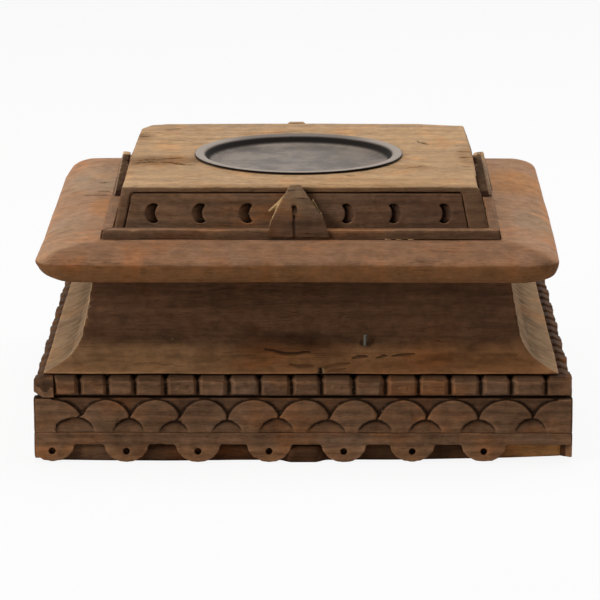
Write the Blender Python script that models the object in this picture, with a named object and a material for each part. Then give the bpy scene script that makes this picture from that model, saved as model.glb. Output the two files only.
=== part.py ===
"""A carved wooden candle stand: stacked square tiers, planted carved strips and a lift-out metal dish.

Metres, +Z up. The origin is the middle of the underside, and the front faces -Y.
"""

import math

import bmesh
import bpy
from mathutils import Matrix, Vector

MM = 0.001

# Fits
JOINT = 0.3 * MM  # the line left open between two pieces that are glued or seated

# Plinth: a square core with three rows of carved strips planted round it
PLINTH_WIDTH = 240 * MM
STRIP_THICKNESS = 5 * MM
PENDANT_DROP = 7.9 * MM
PENDANT_HALF_WIDTH = 10 * MM
PENDANT_PITCH = 32 * MM
PENDANT_COUNT = 8
PENDANT_HOLE = 3.2 * MM
PENDANT_HOLE_DROP = 3.1 * MM  # hole below the fillet
FILLET_HEIGHT = 5.1 * MM
SCALE_COUNT = 11
SCALE_PITCH = 22.7 * MM
SCALE_SPRING = 3.95 * MM  # height of the scales' centres above the band's foot
SCALE_HEADROOM = 0.6 * MM  # plain edge above the scales
SCALE_RELIEF = 1.6 * MM
SCALE_RIB = 6.7 * MM  # wood left between two half-moons
MOON_DROP = 0.9 * MM  # centre of a half-moon below the band's foot
MOON_DEPTH = 1.9 * MM
MOON_LIP = 0.4 * MM  # depth of a half-moon at the band's foot
STUD_COUNT = 17
STUD_HEIGHT = 9 * MM
STUD_BAR_DEPTH = 9 * MM
STUD_RELIEF = 4 * MM
STUD_TIP_LENGTH = 3.2 * MM
STUD_TIP_HEIGHT = 1.2 * MM

# Cove block
COVE_HEIGHT = 41.4 * MM
COVE_SETBACK = 4.3 * MM  # foot of the cove behind the plinth's face
COVE_HOLLOW_RUN = 17.3 * MM  # how far the hollow foot goes in
COVE_LEAN_RUN = 4.8 * MM  # how far the face above it leans in
COVE_HOLLOW_HEIGHT = 15.5 * MM
COVE_FULLNESS = 1.6  # 2 is a true ellipse, less is flatter
COVE_STEPS = 9

# Cap slab, a little off the middle of the plinth
SLAB_SETBACK = 4 * MM  # edge of the slab behind the plinth's face, before the offset
SLAB_THICKNESS = 14.4 * MM
SLAB_EDGE_HEIGHT = 8.2 * MM  # widest line above the underside
SLAB_UNDERCUT = 3.2 * MM
SLAB_CROWN_RUN = 26 * MM
SLAB_CORNER_RADIUS = 12 * MM
SLAB_EDGE_STEPS = 4
SLAB_CROWN_STEPS = 6
SLAB_CORNER_STEPS = 6
SLAB_OFFSET = Vector((-2.9 * MM, 0))

# Top block, collar, panels and bosses
BLOCK_SETBACK = 31 * MM  # foot of the block behind the slab's edge, before the offsets
BLOCK_BATTER = 4.5 * MM
BLOCK_HEIGHT = 21.4 * MM
BLOCK_OFFSET = Vector((-1.2 * MM, 0.8 * MM))
COLLAR_WIDTH = 5 * MM
COLLAR_HEIGHT = 4 * MM
COLLAR_BATTER = 0.8 * MM
PANEL_RAIL = 2.4 * MM  # wood left above a panel
PANEL_REVEAL = 1.5 * MM  # open line between a panel and the rail above it
PANEL_STILE = 4.4 * MM  # wood left beside a panel
PANEL_SILL = 2 * MM  # wood left below a panel, behind the collar
PANEL_THICKNESS = 2.6 * MM
PANEL_SETBACK = 0.9 * MM
PANEL_CHAMFER = 1.1 * MM  # along a panel's top edge
CRESCENTS_EACH_SIDE = 3
CRESCENT_FIRST = 23.7 * MM
CRESCENT_END = 14.5 * MM  # last crescent to the stile
CRESCENT_HEIGHT = 7.4 * MM
CRESCENT_WIDTH = 5.2 * MM
CRESCENT_RISE = 8.5 * MM  # centre above the panel's lower edge
CRESCENT_DEPTH = 2 * MM
CRESCENT_LIP = 0.2 * MM
BOSS_TOP_WIDTH = 4.8 * MM
BOSS_FOOT_WIDTH = 28 * MM
BOSS_TOP_FLAT = 2.6 * MM  # flat of the ridge at its top
BOSS_FOOT_FLAT = 9 * MM
BOSS_TOP_STAND = 3 * MM  # how far the ridge stands off the block at its top
BOSS_FOOT_STAND = 4.4 * MM
BOSS_EDGE_STAND = 2.7 * MM  # thickness of its side edges
BOSS_OVERTOP = 0.6 * MM  # how far the boss rises past the block's top
BOSS_SLOT_WIDTH = 2.2 * MM
BOSS_SLOT_HEIGHT = 5 * MM
BOSS_SLOT_RISE = 4.4 * MM  # lower end of the slot above the boss's foot
BOSS_SLOT_DEPTH = 2.6 * MM

# Candle dish
DISH_DIAMETER = 98 * MM
DISH_RIM = 5.3 * MM
DISH_WALL_RUN = 2.6 * MM
DISH_DEPTH = 4.6 * MM
DISH_METAL = 1.2 * MM
DISH_CLEARANCE = 1 * MM  # between the bowl and its recess
DISH_OFFSET = Vector((-2.8 * MM, -0.8 * MM))
DISH_SIDES = 64
DISH_SMOOTH_ANGLE = math.radians(30)

# Dowels between the tiers
DOWEL_SIDES = 12
LOWER_DOWEL = 12 * MM
LOWER_DOWEL_LENGTH = 44 * MM
LOWER_DOWEL_SPACING = 140 * MM
MIDDLE_DOWEL = 9 * MM
MIDDLE_DOWEL_LENGTH = 15 * MM
MIDDLE_DOWEL_SPACING = 110 * MM
UPPER_DOWEL = 8 * MM
UPPER_DOWEL_LENGTH = 12 * MM
UPPER_DOWEL_SPACING = 124 * MM

# Nail in the front of the cove
NAIL_THICKNESS = 1.4 * MM
NAIL_LENGTH = 14 * MM  # driven into the wood
NAIL_BENT_LENGTH = 4.6 * MM
NAIL_X = 27.7 * MM
NAIL_RISE = 10.9 * MM  # above the cove's foot

# Facets of the round carving
SCALE_STEPS = 8
MOON_STEPS = 8
PENDANT_STEPS = 8
PENDANT_HOLE_SIDES = 10
CRESCENT_STEPS = 6

# Sizes and heights that follow from those above
COVE_FOOT_WIDTH = PLINTH_WIDTH - 2 * COVE_SETBACK
COVE_THROAT_WIDTH = COVE_FOOT_WIDTH - 2 * COVE_HOLLOW_RUN
COVE_TOP_WIDTH = COVE_THROAT_WIDTH - 2 * COVE_LEAN_RUN
SLAB_WIDTH = PLINTH_WIDTH - 2 * SLAB_SETBACK
BLOCK_FOOT_WIDTH = SLAB_WIDTH - 2 * BLOCK_SETBACK
BLOCK_TOP_WIDTH = BLOCK_FOOT_WIDTH - 2 * BLOCK_BATTER
MOON_RADIUS = (SCALE_PITCH - SCALE_RIB) / 2
PENDANT_FOOT = JOINT
FILLET_FOOT = PENDANT_FOOT + PENDANT_DROP
FILLET_TOP = FILLET_FOOT + FILLET_HEIGHT
SCALE_FOOT = FILLET_TOP + JOINT
SCALE_CENTRE = SCALE_FOOT + SCALE_SPRING
SCALE_TOP = SCALE_CENTRE + SCALE_PITCH / 2 + SCALE_HEADROOM
STUD_FOOT = SCALE_TOP + JOINT
PLINTH_TOP = STUD_FOOT + STUD_HEIGHT
COVE_FOOT = PLINTH_TOP + JOINT
COVE_TOP = COVE_FOOT + COVE_HEIGHT
SLAB_FOOT = COVE_TOP + JOINT
SLAB_TOP = SLAB_FOOT + SLAB_THICKNESS
BLOCK_FOOT = SLAB_TOP + JOINT
BLOCK_TOP = BLOCK_FOOT + BLOCK_HEIGHT
DISH_SEAT = BLOCK_TOP + JOINT

# The sloped faces of the top block, measured up the slope from the foot
BLOCK_LEAN = math.atan2((BLOCK_FOOT_WIDTH - BLOCK_TOP_WIDTH) / 2, BLOCK_HEIGHT)
BLOCK_SLOPE = BLOCK_HEIGHT / math.cos(BLOCK_LEAN)
RECESS_TOP = BLOCK_SLOPE - PANEL_RAIL
RECESS_DEPTH = PANEL_SETBACK + PANEL_THICKNESS + JOINT
PANEL_TOP = RECESS_TOP - PANEL_REVEAL
CRESCENT_RADIUS = math.hypot(CRESCENT_HEIGHT, CRESCENT_WIDTH) / 2
CRESCENT_ROW = BLOCK_FOOT_WIDTH / 2 - PANEL_STILE - CRESCENT_END - CRESCENT_FIRST
CRESCENT_PITCH = CRESCENT_ROW / (CRESCENTS_EACH_SIDE - 1)

SIDES = {"front": 0, "right": 90, "back": 180, "left": 270}
BROKEN_SIDE = "front"  # this strip has lost its last pendant


def clear_scene():
    for thing in list(bpy.data.objects):
        bpy.data.objects.remove(thing, do_unlink=True)


def finish(name, colour, roughness, metallic=0.0):
    material = bpy.data.materials.new(name)
    material.use_nodes = True
    shader = material.node_tree.nodes["Principled BSDF"]
    shader.inputs["Base Color"].default_value = (*colour, 1)
    shader.inputs["Roughness"].default_value = roughness
    shader.inputs["Metallic"].default_value = metallic
    return material


def mesh_from(shape, name):
    bmesh.ops.recalc_face_normals(shape, faces=shape.faces)
    mesh = bpy.data.meshes.new(name)
    shape.to_mesh(mesh)
    shape.free()
    return mesh


def place(name, mesh, material, parent=None, location=(0, 0, 0), rotation=(0, 0, 0)):
    thing = bpy.data.objects.new(name, mesh)
    bpy.context.scene.collection.objects.link(thing)
    if material is not None and not mesh.materials:
        mesh.materials.append(material)
    thing.parent = parent
    thing.location = location
    thing.rotation_euler = rotation
    return thing


def cutter(name, shape, parent=None, location=(0, 0, 0), rotation=(0, 0, 0)):
    tool = place(name, mesh_from(shape, name), None, parent, location, rotation)
    tool.hide_render = True
    tool.display_type = "WIRE"
    return tool


def boolean(target, tool, operation="DIFFERENCE"):
    step = target.modifiers.new(tool.name, "BOOLEAN")
    step.operation = operation
    step.solver = "EXACT"
    step.object = tool


def carved_mesh(blank, tools):
    """The blank's mesh with its modifiers applied. The blank and its tools are removed."""
    bpy.context.view_layer.update()
    graph = bpy.context.evaluated_depsgraph_get()
    mesh = bpy.data.meshes.new_from_object(blank.evaluated_get(graph))
    for thing in (blank, *tools):
        bpy.data.objects.remove(thing, do_unlink=True)
    return mesh


def arc(centre, radius, start, end, steps):
    """Points on an arc in X and Z, from one angle to the other in degrees, both ends included."""
    turns = [math.radians(start + (end - start) * i / steps) for i in range(steps + 1)]
    return [(centre[0] + radius * math.cos(t), centre[1] + radius * math.sin(t)) for t in turns]


def prism(shape, outline, near, far):
    """Adds an outline in X and Z drawn out along Y. Near and far are depths or functions of X and Z."""
    near_at = near if callable(near) else lambda x, z: near
    far_at = far if callable(far) else lambda x, z: far
    front = [shape.verts.new((x, near_at(x, z), z)) for x, z in outline]
    back = [shape.verts.new((x, far_at(x, z), z)) for x, z in outline]
    shape.faces.new(front)
    shape.faces.new(back)
    for i in range(len(outline)):
        shape.faces.new((front[i - 1], front[i], back[i], back[i - 1]))


def loft(rings):
    """A closed skin through rings with the same number of points, capped at both ends."""
    shape = bmesh.new()
    loops = [[shape.verts.new(point) for point in ring] for ring in rings]
    shape.faces.new(loops[0])
    shape.faces.new(loops[-1])
    for lower, upper in zip(loops, loops[1:]):
        for i in range(len(lower)):
            shape.faces.new((lower[i - 1], lower[i], upper[i], upper[i - 1]))
    return shape


def square_ring(width, height):
    half = width / 2
    return [(-half, -half, height), (half, -half, height), (half, half, height), (-half, half, height)]


def rounded_ring(width, height, radius):
    """A square ring whose four corners are arcs."""
    points = []
    for quarter in range(4):
        turn = Matrix.Rotation(math.radians(90 * quarter), 2)
        middle = width / 2 - radius
        for x, y in arc((middle, middle), radius, 0, 90, SLAB_CORNER_STEPS):
            points.append((*(turn @ Vector((x, y))), height))
    return points


def cylinders(places, diameter, low, high, sides):
    """Upright cylinders of one size at several places, in one bmesh."""
    shape = bmesh.new()
    for x, y in places:
        bmesh.ops.create_cone(
            shape,
            cap_ends=True,
            segments=sides,
            radius1=diameter / 2,
            radius2=diameter / 2,
            depth=high - low,
            matrix=Matrix.Translation((x, y, (low + high) / 2)),
        )
    return shape


def square_places(spacing):
    half = spacing / 2
    return [(-half, -half), (half, -half), (half, half), (-half, half)]


def side_frames(name, centre):
    """An empty for each side, turned so that what it carries is modelled as the front."""
    frames = {}
    for side, degrees in SIDES.items():
        frame = bpy.data.objects.new(f"{name}_{side}_frame", None)
        bpy.context.scene.collection.objects.link(frame)
        frame.location = (centre.x, centre.y, 0)
        frame.rotation_euler.z = math.radians(degrees)
        frames[side] = frame
    return frames


def mitre_wedge(width, low, high):
    """The quarter of a square that belongs to the front, short of the mitre lines by half a joint."""
    shape = bmesh.new()
    back = JOINT / math.sqrt(2)
    corners = [(0, -back), (-width + back, -width), (width - back, -width)]
    for height in (low - width, high + width):
        shape.faces.new([shape.verts.new((x, y, height)) for x, y in corners])
    shape.verts.ensure_lookup_table()
    lower, upper = shape.verts[:3], shape.verts[3:]
    for i in range(3):
        shape.faces.new((lower[i - 1], lower[i], upper[i], upper[i - 1]))
    return cutter("mitre_wedge", shape)


def plinth_core(material):
    """The block behind the strips, rebated at the top for the stud bars."""
    strip_back = PLINTH_WIDTH - 2 * (STRIP_THICKNESS + JOINT)
    bar_back = PLINTH_WIDTH - 2 * (STUD_BAR_DEPTH + JOINT)
    rings = [
        square_ring(strip_back, 0),
        square_ring(strip_back, SCALE_TOP),
        square_ring(bar_back, SCALE_TOP),
        square_ring(bar_back, PLINTH_TOP),
    ]
    return place("plinth_core", mesh_from(loft(rings), "plinth_core"), material)


def pendant_outline(places):
    """The fillet with a half-round pendant hanging at each place."""
    half = PLINTH_WIDTH / 2
    points = [(half, FILLET_FOOT), (half, FILLET_TOP), (-half, FILLET_TOP), (-half, FILLET_FOOT)]
    squash = PENDANT_DROP / PENDANT_HALF_WIDTH
    for x in places:
        for px, pz in arc((x, 0), PENDANT_HALF_WIDTH, 180, 360, PENDANT_STEPS):
            inside = min(max(px, -half), half)
            points.append((inside, FILLET_FOOT + pz * squash))
    return tidy_outline(points)


def tidy_outline(points):
    """The outline without points that fall on the one before."""
    kept = []
    for point in points:
        if not kept or (Vector(point) - Vector(kept[-1])).length > JOINT / 10:
            kept.append(point)
    if (Vector(kept[0]) - Vector(kept[-1])).length <= JOINT / 10:
        kept.pop()
    return kept


def pendant_mesh(places, name):
    front = -PLINTH_WIDTH / 2
    back = front + STRIP_THICKNESS
    shape = bmesh.new()
    prism(shape, pendant_outline(places), front, back)
    blank = place(name, mesh_from(shape, name), None)
    holes = bmesh.new()
    for x in places:
        centre = (x, FILLET_FOOT - PENDANT_HOLE_DROP)
        ring = arc(centre, PENDANT_HOLE / 2, 0, 360, PENDANT_HOLE_SIDES)[:-1]
        prism(holes, ring, front - STRIP_THICKNESS, back + STRIP_THICKNESS)
    drill = cutter("pendant_holes", holes)
    wedge = mitre_wedge(PLINTH_WIDTH, PENDANT_FOOT, FILLET_TOP)
    boolean(blank, drill)
    boolean(blank, wedge, "INTERSECT")
    return carved_mesh(blank, (drill, wedge))


def pendant_strips(frames, material):
    first = -PENDANT_PITCH * (PENDANT_COUNT - 1) / 2
    places = [first + PENDANT_PITCH * i for i in range(PENDANT_COUNT)]
    whole = pendant_mesh(places, "pendant_strip")
    broken = pendant_mesh(places[:-1], "pendant_strip_broken")
    for side, frame in frames.items():
        mesh = broken if side == BROKEN_SIDE else whole
        place(f"pendant_strip_{side}", mesh, material, frame)


def spandrel_outline(middle):
    """The ground between two scales, open past the top of the band."""
    radius = SCALE_PITCH / 2
    left = arc((middle - radius, SCALE_CENTRE), radius, 90, 0, SCALE_STEPS)
    right = arc((middle + radius, SCALE_CENTRE), radius, 180, 90, SCALE_STEPS)
    over = SCALE_TOP + SCALE_RELIEF
    return tidy_outline([(left[0][0], over), *left, *right, (right[-1][0], over)])


def moon_outline(middle):
    """The part of a half-moon's circle above a line just below the band's foot."""
    low = math.degrees(math.asin((MOON_DROP - JOINT) / MOON_RADIUS))
    return arc((middle, SCALE_FOOT - MOON_DROP), MOON_RADIUS, low, 180 - low, MOON_STEPS)


def scale_strips(frames, material):
    front = -PLINTH_WIDTH / 2
    half = PLINTH_WIDTH / 2
    shape = bmesh.new()
    board = [(-half, SCALE_FOOT), (half, SCALE_FOOT), (half, SCALE_TOP), (-half, SCALE_TOP)]
    prism(shape, board, front, front + STRIP_THICKNESS)
    blank = place("scale_strip", mesh_from(shape, "scale_strip"), None)
    between = [SCALE_PITCH * (i - (SCALE_COUNT - 2) / 2) for i in range(SCALE_COUNT - 1)]
    slope = (MOON_DEPTH - MOON_LIP) / (MOON_RADIUS - MOON_DROP)
    ground = bmesh.new()
    moons = bmesh.new()
    for middle in between:
        prism(ground, spandrel_outline(middle), front - SCALE_RELIEF, front + SCALE_RELIEF)
        prism(
            moons,
            moon_outline(middle),
            front - MOON_DEPTH,
            lambda x, z: front + MOON_LIP + slope * (z - SCALE_FOOT),
        )
    tools = [
        cutter("scale_ground", ground),
        cutter("scale_moons", moons),
        mitre_wedge(PLINTH_WIDTH, SCALE_FOOT, SCALE_TOP),
    ]
    for tool, operation in zip(tools, ("DIFFERENCE", "DIFFERENCE", "INTERSECT")):
        boolean(blank, tool, operation)
    mesh = carved_mesh(blank, tools)
    for side, frame in frames.items():
        place(f"scale_strip_{side}", mesh, material, frame)


def stud_strips(frames, material):
    """Bars that meet end to side at the corners, so each shows one plain end."""
    tip = -PLINTH_WIDTH / 2
    base = tip + STUD_RELIEF
    back = tip + STUD_BAR_DEPTH
    start = back + JOINT
    end = PLINTH_WIDTH / 2
    pitch = (end - start) / STUD_COUNT
    shape = bmesh.new()
    bar = [(start, STUD_FOOT), (end, STUD_FOOT), (end, PLINTH_TOP), (start, PLINTH_TOP)]
    prism(shape, bar, base, back)
    for i in range(1, STUD_COUNT):
        bmesh.ops.bisect_plane(
            shape,
            geom=shape.verts[:] + shape.edges[:] + shape.faces[:],
            plane_co=(start + pitch * i, 0, 0),
            plane_no=(1, 0, 0),
        )
    bmesh.ops.recalc_face_normals(shape, faces=shape.faces)
    cells = [face for face in shape.faces if face.normal.y < -0.5]
    bmesh.ops.inset_individual(shape, faces=cells, thickness=STUD_TIP_HEIGHT)
    for cell in cells:
        middle = cell.calc_center_median()
        for vert in cell.verts:
            side = math.copysign(1, vert.co.x - middle.x)
            rise = math.copysign(1, vert.co.z - middle.z)
            vert.co = (
                middle.x + side * STUD_TIP_LENGTH / 2,
                tip,
                middle.z + rise * STUD_TIP_HEIGHT / 2,
            )
    mesh = mesh_from(shape, "stud_strip")
    for side, frame in frames.items():
        place(f"stud_strip_{side}", mesh, material, frame)


def cove_profile():
    """Widths and heights from the foot up: a hollow foot, then a straight batter."""
    run = COVE_FOOT_WIDTH - COVE_THROAT_WIDTH
    profile = []
    for i in range(COVE_STEPS + 1):
        turn = math.pi / 2 * i / COVE_STEPS
        inward = math.sin(turn) ** (2 / COVE_FULLNESS)
        upward = 1 - max(math.cos(turn), 0) ** (2 / COVE_FULLNESS)
        profile.append((COVE_FOOT_WIDTH - run * inward, COVE_HOLLOW_HEIGHT * upward))
    profile.append((COVE_TOP_WIDTH, COVE_HEIGHT))
    return profile


def cove_half_width(rise):
    """Half the cove's width at a height above its foot."""
    profile = cove_profile()
    for (low_width, low), (high_width, high) in zip(profile, profile[1:]):
        if low <= rise <= high:
            return (low_width + (high_width - low_width) * (rise - low) / (high - low)) / 2
    return COVE_TOP_WIDTH / 2


def cove_block(material):
    rings = [square_ring(width, COVE_FOOT + rise) for width, rise in cove_profile()]
    return place("cove_block", mesh_from(loft(rings), "cove_block"), material)


def cove_nail(block, material):
    """A nail driven straight in, its end bent up along the cove."""
    half = NAIL_THICKNESS / 2
    height = COVE_FOOT + NAIL_RISE
    surface = -cove_half_width(NAIL_RISE - half)
    outside = surface - JOINT
    bend = outside - NAIL_THICKNESS
    tip = surface + NAIL_LENGTH
    side_view = [
        (bend, height - half),
        (tip, height - half),
        (tip, height + half),
        (outside, height + half),
        (outside, height + NAIL_BENT_LENGTH),
        (bend, height + NAIL_BENT_LENGTH),
    ]
    shape = bmesh.new()
    left = [shape.verts.new((NAIL_X - half, y, z)) for y, z in side_view]
    right = [shape.verts.new((NAIL_X + half, y, z)) for y, z in side_view]
    shape.faces.new(left)
    shape.faces.new(right)
    for i in range(len(side_view)):
        shape.faces.new((left[i - 1], left[i], right[i], right[i - 1]))
    place("cove_nail", mesh_from(shape, "cove_nail"), material)
    hole = bmesh.new()
    bore = half + JOINT
    mouth = [(NAIL_X - bore, height - bore), (NAIL_X + bore, height - bore)]
    mouth += [(NAIL_X + bore, height + bore), (NAIL_X - bore, height + bore)]
    prism(hole, mouth, surface - NAIL_LENGTH, tip + JOINT)
    boolean(block, cutter("nail_hole", hole))


def cap_slab(material):
    """A slab with an undercut edge, a crowned border and rounded corners in plan."""
    profile = []
    for i in range(SLAB_EDGE_STEPS + 1):
        turn = math.pi / 2 * i / SLAB_EDGE_STEPS
        inset = SLAB_UNDERCUT * (1 - math.sin(turn))
        profile.append((inset, SLAB_EDGE_HEIGHT * (1 - math.cos(turn))))
    crown = SLAB_THICKNESS - SLAB_EDGE_HEIGHT
    for i in range(1, SLAB_CROWN_STEPS + 1):
        turn = math.pi / 2 * i / SLAB_CROWN_STEPS
        inset = SLAB_CROWN_RUN * (1 - math.cos(turn))
        profile.append((inset, SLAB_EDGE_HEIGHT + crown * math.sin(turn)))
    rings = []
    for inset, rise in profile:
        radius = max(SLAB_CORNER_RADIUS - inset, JOINT)
        rings.append(rounded_ring(SLAB_WIDTH - 2 * inset, SLAB_FOOT + rise, radius))
    mesh = mesh_from(loft(rings), "cap_slab")
    return place("cap_slab", mesh, material, location=(*SLAB_OFFSET, 0))


def collars(frames, material):
    """Low mouldings round the block's foot, battered like its faces."""
    front = -(BLOCK_FOOT_WIDTH / 2 + JOINT + COLLAR_WIDTH)
    back = -(BLOCK_FOOT_WIDTH / 2 + JOINT)
    lean = COLLAR_HEIGHT * math.tan(BLOCK_LEAN)
    half = -front
    shape = bmesh.new()
    end_view = [
        (front, BLOCK_FOOT),
        (back, BLOCK_FOOT),
        (back + lean, BLOCK_FOOT + COLLAR_HEIGHT),
        (front + COLLAR_BATTER, BLOCK_FOOT + COLLAR_HEIGHT),
    ]
    left = [shape.verts.new((-half, y, z)) for y, z in end_view]
    right = [shape.verts.new((half, y, z)) for y, z in end_view]
    shape.faces.new(left)
    shape.faces.new(right)
    for i in range(len(end_view)):
        shape.faces.new((left[i - 1], left[i], right[i], right[i - 1]))
    blank = place("collar", mesh_from(shape, "collar"), None)
    wedge = mitre_wedge(2 * half, BLOCK_FOOT, BLOCK_FOOT + COLLAR_HEIGHT)
    boolean(blank, wedge, "INTERSECT")
    mesh = carved_mesh(blank, (wedge,))
    for side, frame in frames.items():
        place(f"collar_{side}", mesh, material, frame)


def top_block(material):
    rings = [square_ring(BLOCK_FOOT_WIDTH, BLOCK_FOOT), square_ring(BLOCK_TOP_WIDTH, BLOCK_TOP)]
    mesh = mesh_from(loft(rings), "top_block")
    return place("top_block", mesh, material, location=(*BLOCK_OFFSET, 0))


def on_slope():
    """Where a piece that is modelled against the block's front face sits, and how it leans."""
    return {
        "location": (0, -BLOCK_FOOT_WIDTH / 2, BLOCK_FOOT),
        "rotation": (-BLOCK_LEAN, 0, 0),
    }


def slope_half_width(rise):
    """Half the width of the block's sloped face at a distance up the slope."""
    share = rise / BLOCK_SLOPE
    return (BLOCK_FOOT_WIDTH + (BLOCK_TOP_WIDTH - BLOCK_FOOT_WIDTH) * share) / 2


def field_outline(low, high, inset):
    """A field on the block's slope between two heights, drawn in from its ends."""
    low_half = slope_half_width(low) - inset
    high_half = slope_half_width(high) - inset
    return [(-low_half, low), (low_half, low), (high_half, high), (-high_half, high)]


def crescent_outline(middle, hand):
    """A crescent whose horns point to the middle of the panel, which lies on the side of hand."""
    rise = PANEL_SILL + CRESCENT_RISE
    half = math.degrees(math.acos(CRESCENT_WIDTH / 2 / CRESCENT_RADIUS))
    outer = arc((0, rise), CRESCENT_RADIUS, half, 360 - half, 2 * CRESCENT_STEPS)
    inner = arc((CRESCENT_WIDTH, rise), CRESCENT_RADIUS, 180 + half, 180 - half, CRESCENT_STEPS)
    points = [*outer, *inner[1:-1]]
    return [(middle + hand * x, z) for x, z in points]


def is_top_front(vert):
    """Whether a corner of a panel is on its top front edge."""
    return vert.co.z > PANEL_TOP - JOINT and vert.co.y < PANEL_SETBACK + JOINT


def crescent_panels(block, frames, material):
    recess = field_outline(PANEL_SILL, RECESS_TOP, PANEL_STILE)
    for side, frame in frames.items():
        shape = bmesh.new()
        prism(shape, recess, -RECESS_DEPTH, RECESS_DEPTH)
        boolean(block, cutter(f"panel_recess_{side}", shape, frame, **on_slope()))
    front = PANEL_SETBACK
    shape = bmesh.new()
    board = field_outline(PANEL_SILL + JOINT, PANEL_TOP, PANEL_STILE + JOINT)
    prism(shape, board, front, front + PANEL_THICKNESS)
    top_edge = [edge for edge in shape.edges if all(is_top_front(vert) for vert in edge.verts)]
    bmesh.ops.recalc_face_normals(shape, faces=shape.faces)
    bmesh.ops.bevel(shape, geom=top_edge, offset=PANEL_CHAMFER, segments=1, affect="EDGES")
    blank = place("crescent_panel", mesh_from(shape, "crescent_panel"), None)
    scoops = bmesh.new()
    slope = (CRESCENT_DEPTH - CRESCENT_LIP) / CRESCENT_WIDTH
    for hand in (-1, 1):
        for i in range(CRESCENTS_EACH_SIDE):
            edge = -hand * (CRESCENT_FIRST + CRESCENT_PITCH * i)
            outer = edge - hand * CRESCENT_RADIUS

            def floor(x, z, outer=outer, hand=hand):
                return front + CRESCENT_LIP + slope * hand * (x - outer)

            prism(scoops, crescent_outline(edge, hand), front - CRESCENT_DEPTH, floor)
    tool = cutter("crescents", scoops)
    boolean(blank, tool)
    mesh = carved_mesh(blank, (tool,))
    for side, frame in frames.items():
        place(f"crescent_panel_{side}", mesh, material, frame, **on_slope())


def boss_ring(rise, share, back):
    """One section of the boss, across the slope: its share of the way up sets its widths."""

    def between(foot, top):
        return foot + (top - foot) * share

    half = between(BOSS_FOOT_WIDTH, BOSS_TOP_WIDTH) / 2
    flat = between(BOSS_FOOT_FLAT, BOSS_TOP_FLAT) / 2
    ridge = -between(BOSS_FOOT_STAND, BOSS_TOP_STAND)
    edge = -JOINT - BOSS_EDGE_STAND
    return [
        (-half, back, rise),
        (-half, edge, rise),
        (-flat, ridge, rise),
        (flat, ridge, rise),
        (half, edge, rise),
        (half, back, rise),
    ]


def gable_bosses(frames, material):
    """Tapering bosses that stand on the collar, seated on the panel and on the rail above it."""
    foot = (COLLAR_HEIGHT + JOINT) / math.cos(BLOCK_LEAN)
    top = BLOCK_SLOPE + BOSS_OVERTOP
    shoulder = PANEL_TOP
    on_panel = PANEL_SETBACK - JOINT
    on_rail = -JOINT
    chamfer = shoulder - (on_panel - on_rail)
    sections = [(foot, on_panel), (chamfer, on_panel), (shoulder, on_rail), (top, on_rail)]
    rings = [boss_ring(rise, (rise - foot) / (top - foot), back) for rise, back in sections]
    blank = place("gable_boss", mesh_from(loft(rings), "gable_boss"), None)
    slot = bmesh.new()
    half = BOSS_SLOT_WIDTH / 2
    low = foot + BOSS_SLOT_RISE
    high = low + BOSS_SLOT_HEIGHT
    mouth = [(-half, low), (half, low), (half, high), (-half, high)]
    prism(slot, mouth, -BOSS_FOOT_STAND - BOSS_SLOT_DEPTH, -BOSS_FOOT_STAND + BOSS_SLOT_DEPTH)
    tool = cutter("boss_slot", slot)
    boolean(blank, tool)
    mesh = carved_mesh(blank, (tool,))
    for side, frame in frames.items():
        place(f"gable_boss_{side}", mesh, material, frame, **on_slope())


def candle_dish(block, material):
    """A pressed dish whose rim lies on the block, with its bowl in a round recess."""
    rim = DISH_DIAMETER / 2
    mouth = rim - DISH_RIM
    floor = mouth - DISH_WALL_RUN
    top = DISH_METAL
    profile = [
        (0, top - DISH_DEPTH),
        (floor, top - DISH_DEPTH),
        (mouth, top - DISH_METAL / 4),
        (mouth + DISH_METAL, top),
        (rim - DISH_METAL / 2, top),
        (rim, DISH_METAL / 2),
        (rim - DISH_METAL / 4, 0),
        (mouth + DISH_METAL, 0),
        (floor + DISH_METAL, -DISH_DEPTH),
        (0, -DISH_DEPTH),
    ]
    shape = bmesh.new()
    verts = [shape.verts.new((x, 0, z)) for x, z in profile]
    edges = [shape.edges.new(pair) for pair in zip(verts, verts[1:])]
    bmesh.ops.spin(
        shape,
        geom=verts + edges,
        axis=(0, 0, 1),
        cent=(0, 0, 0),
        angle=2 * math.pi,
        steps=DISH_SIDES,
        use_merge=True,
    )
    bmesh.ops.remove_doubles(shape, verts=shape.verts, dist=JOINT / 100)
    mesh = mesh_from(shape, "candle_dish")
    mesh.shade_smooth()
    mesh.set_sharp_from_angle(angle=DISH_SMOOTH_ANGLE)
    place("candle_dish", mesh, material, location=(*DISH_OFFSET, DISH_SEAT))
    bowl = 2 * (mouth + DISH_METAL + DISH_CLEARANCE)
    low = BLOCK_TOP - DISH_DEPTH
    recess = cylinders([DISH_OFFSET], bowl, low, BLOCK_TOP + DISH_DEPTH, DISH_SIDES)
    boolean(block, cutter("dish_recess", recess))


def dowels(name, size, joint_height, blocks, material):
    """Four dowels across a joint, and their bores in the blocks below and above it."""
    diameter, length, spacing = size
    low = joint_height - length / 2
    high = joint_height + length / 2
    places = square_places(spacing)
    bores = cylinders(places, diameter + 2 * JOINT, low - JOINT, high + JOINT, DOWEL_SIDES)
    tool = cutter(f"{name}_bores", bores)
    for block in blocks:
        boolean(block, tool)
    mesh = mesh_from(cylinders([(0, 0)], diameter, low, high, DOWEL_SIDES), name)
    for number, (x, y) in enumerate(places, 1):
        place(f"{name}_{number}", mesh, material, location=(x, y, 0))


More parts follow.
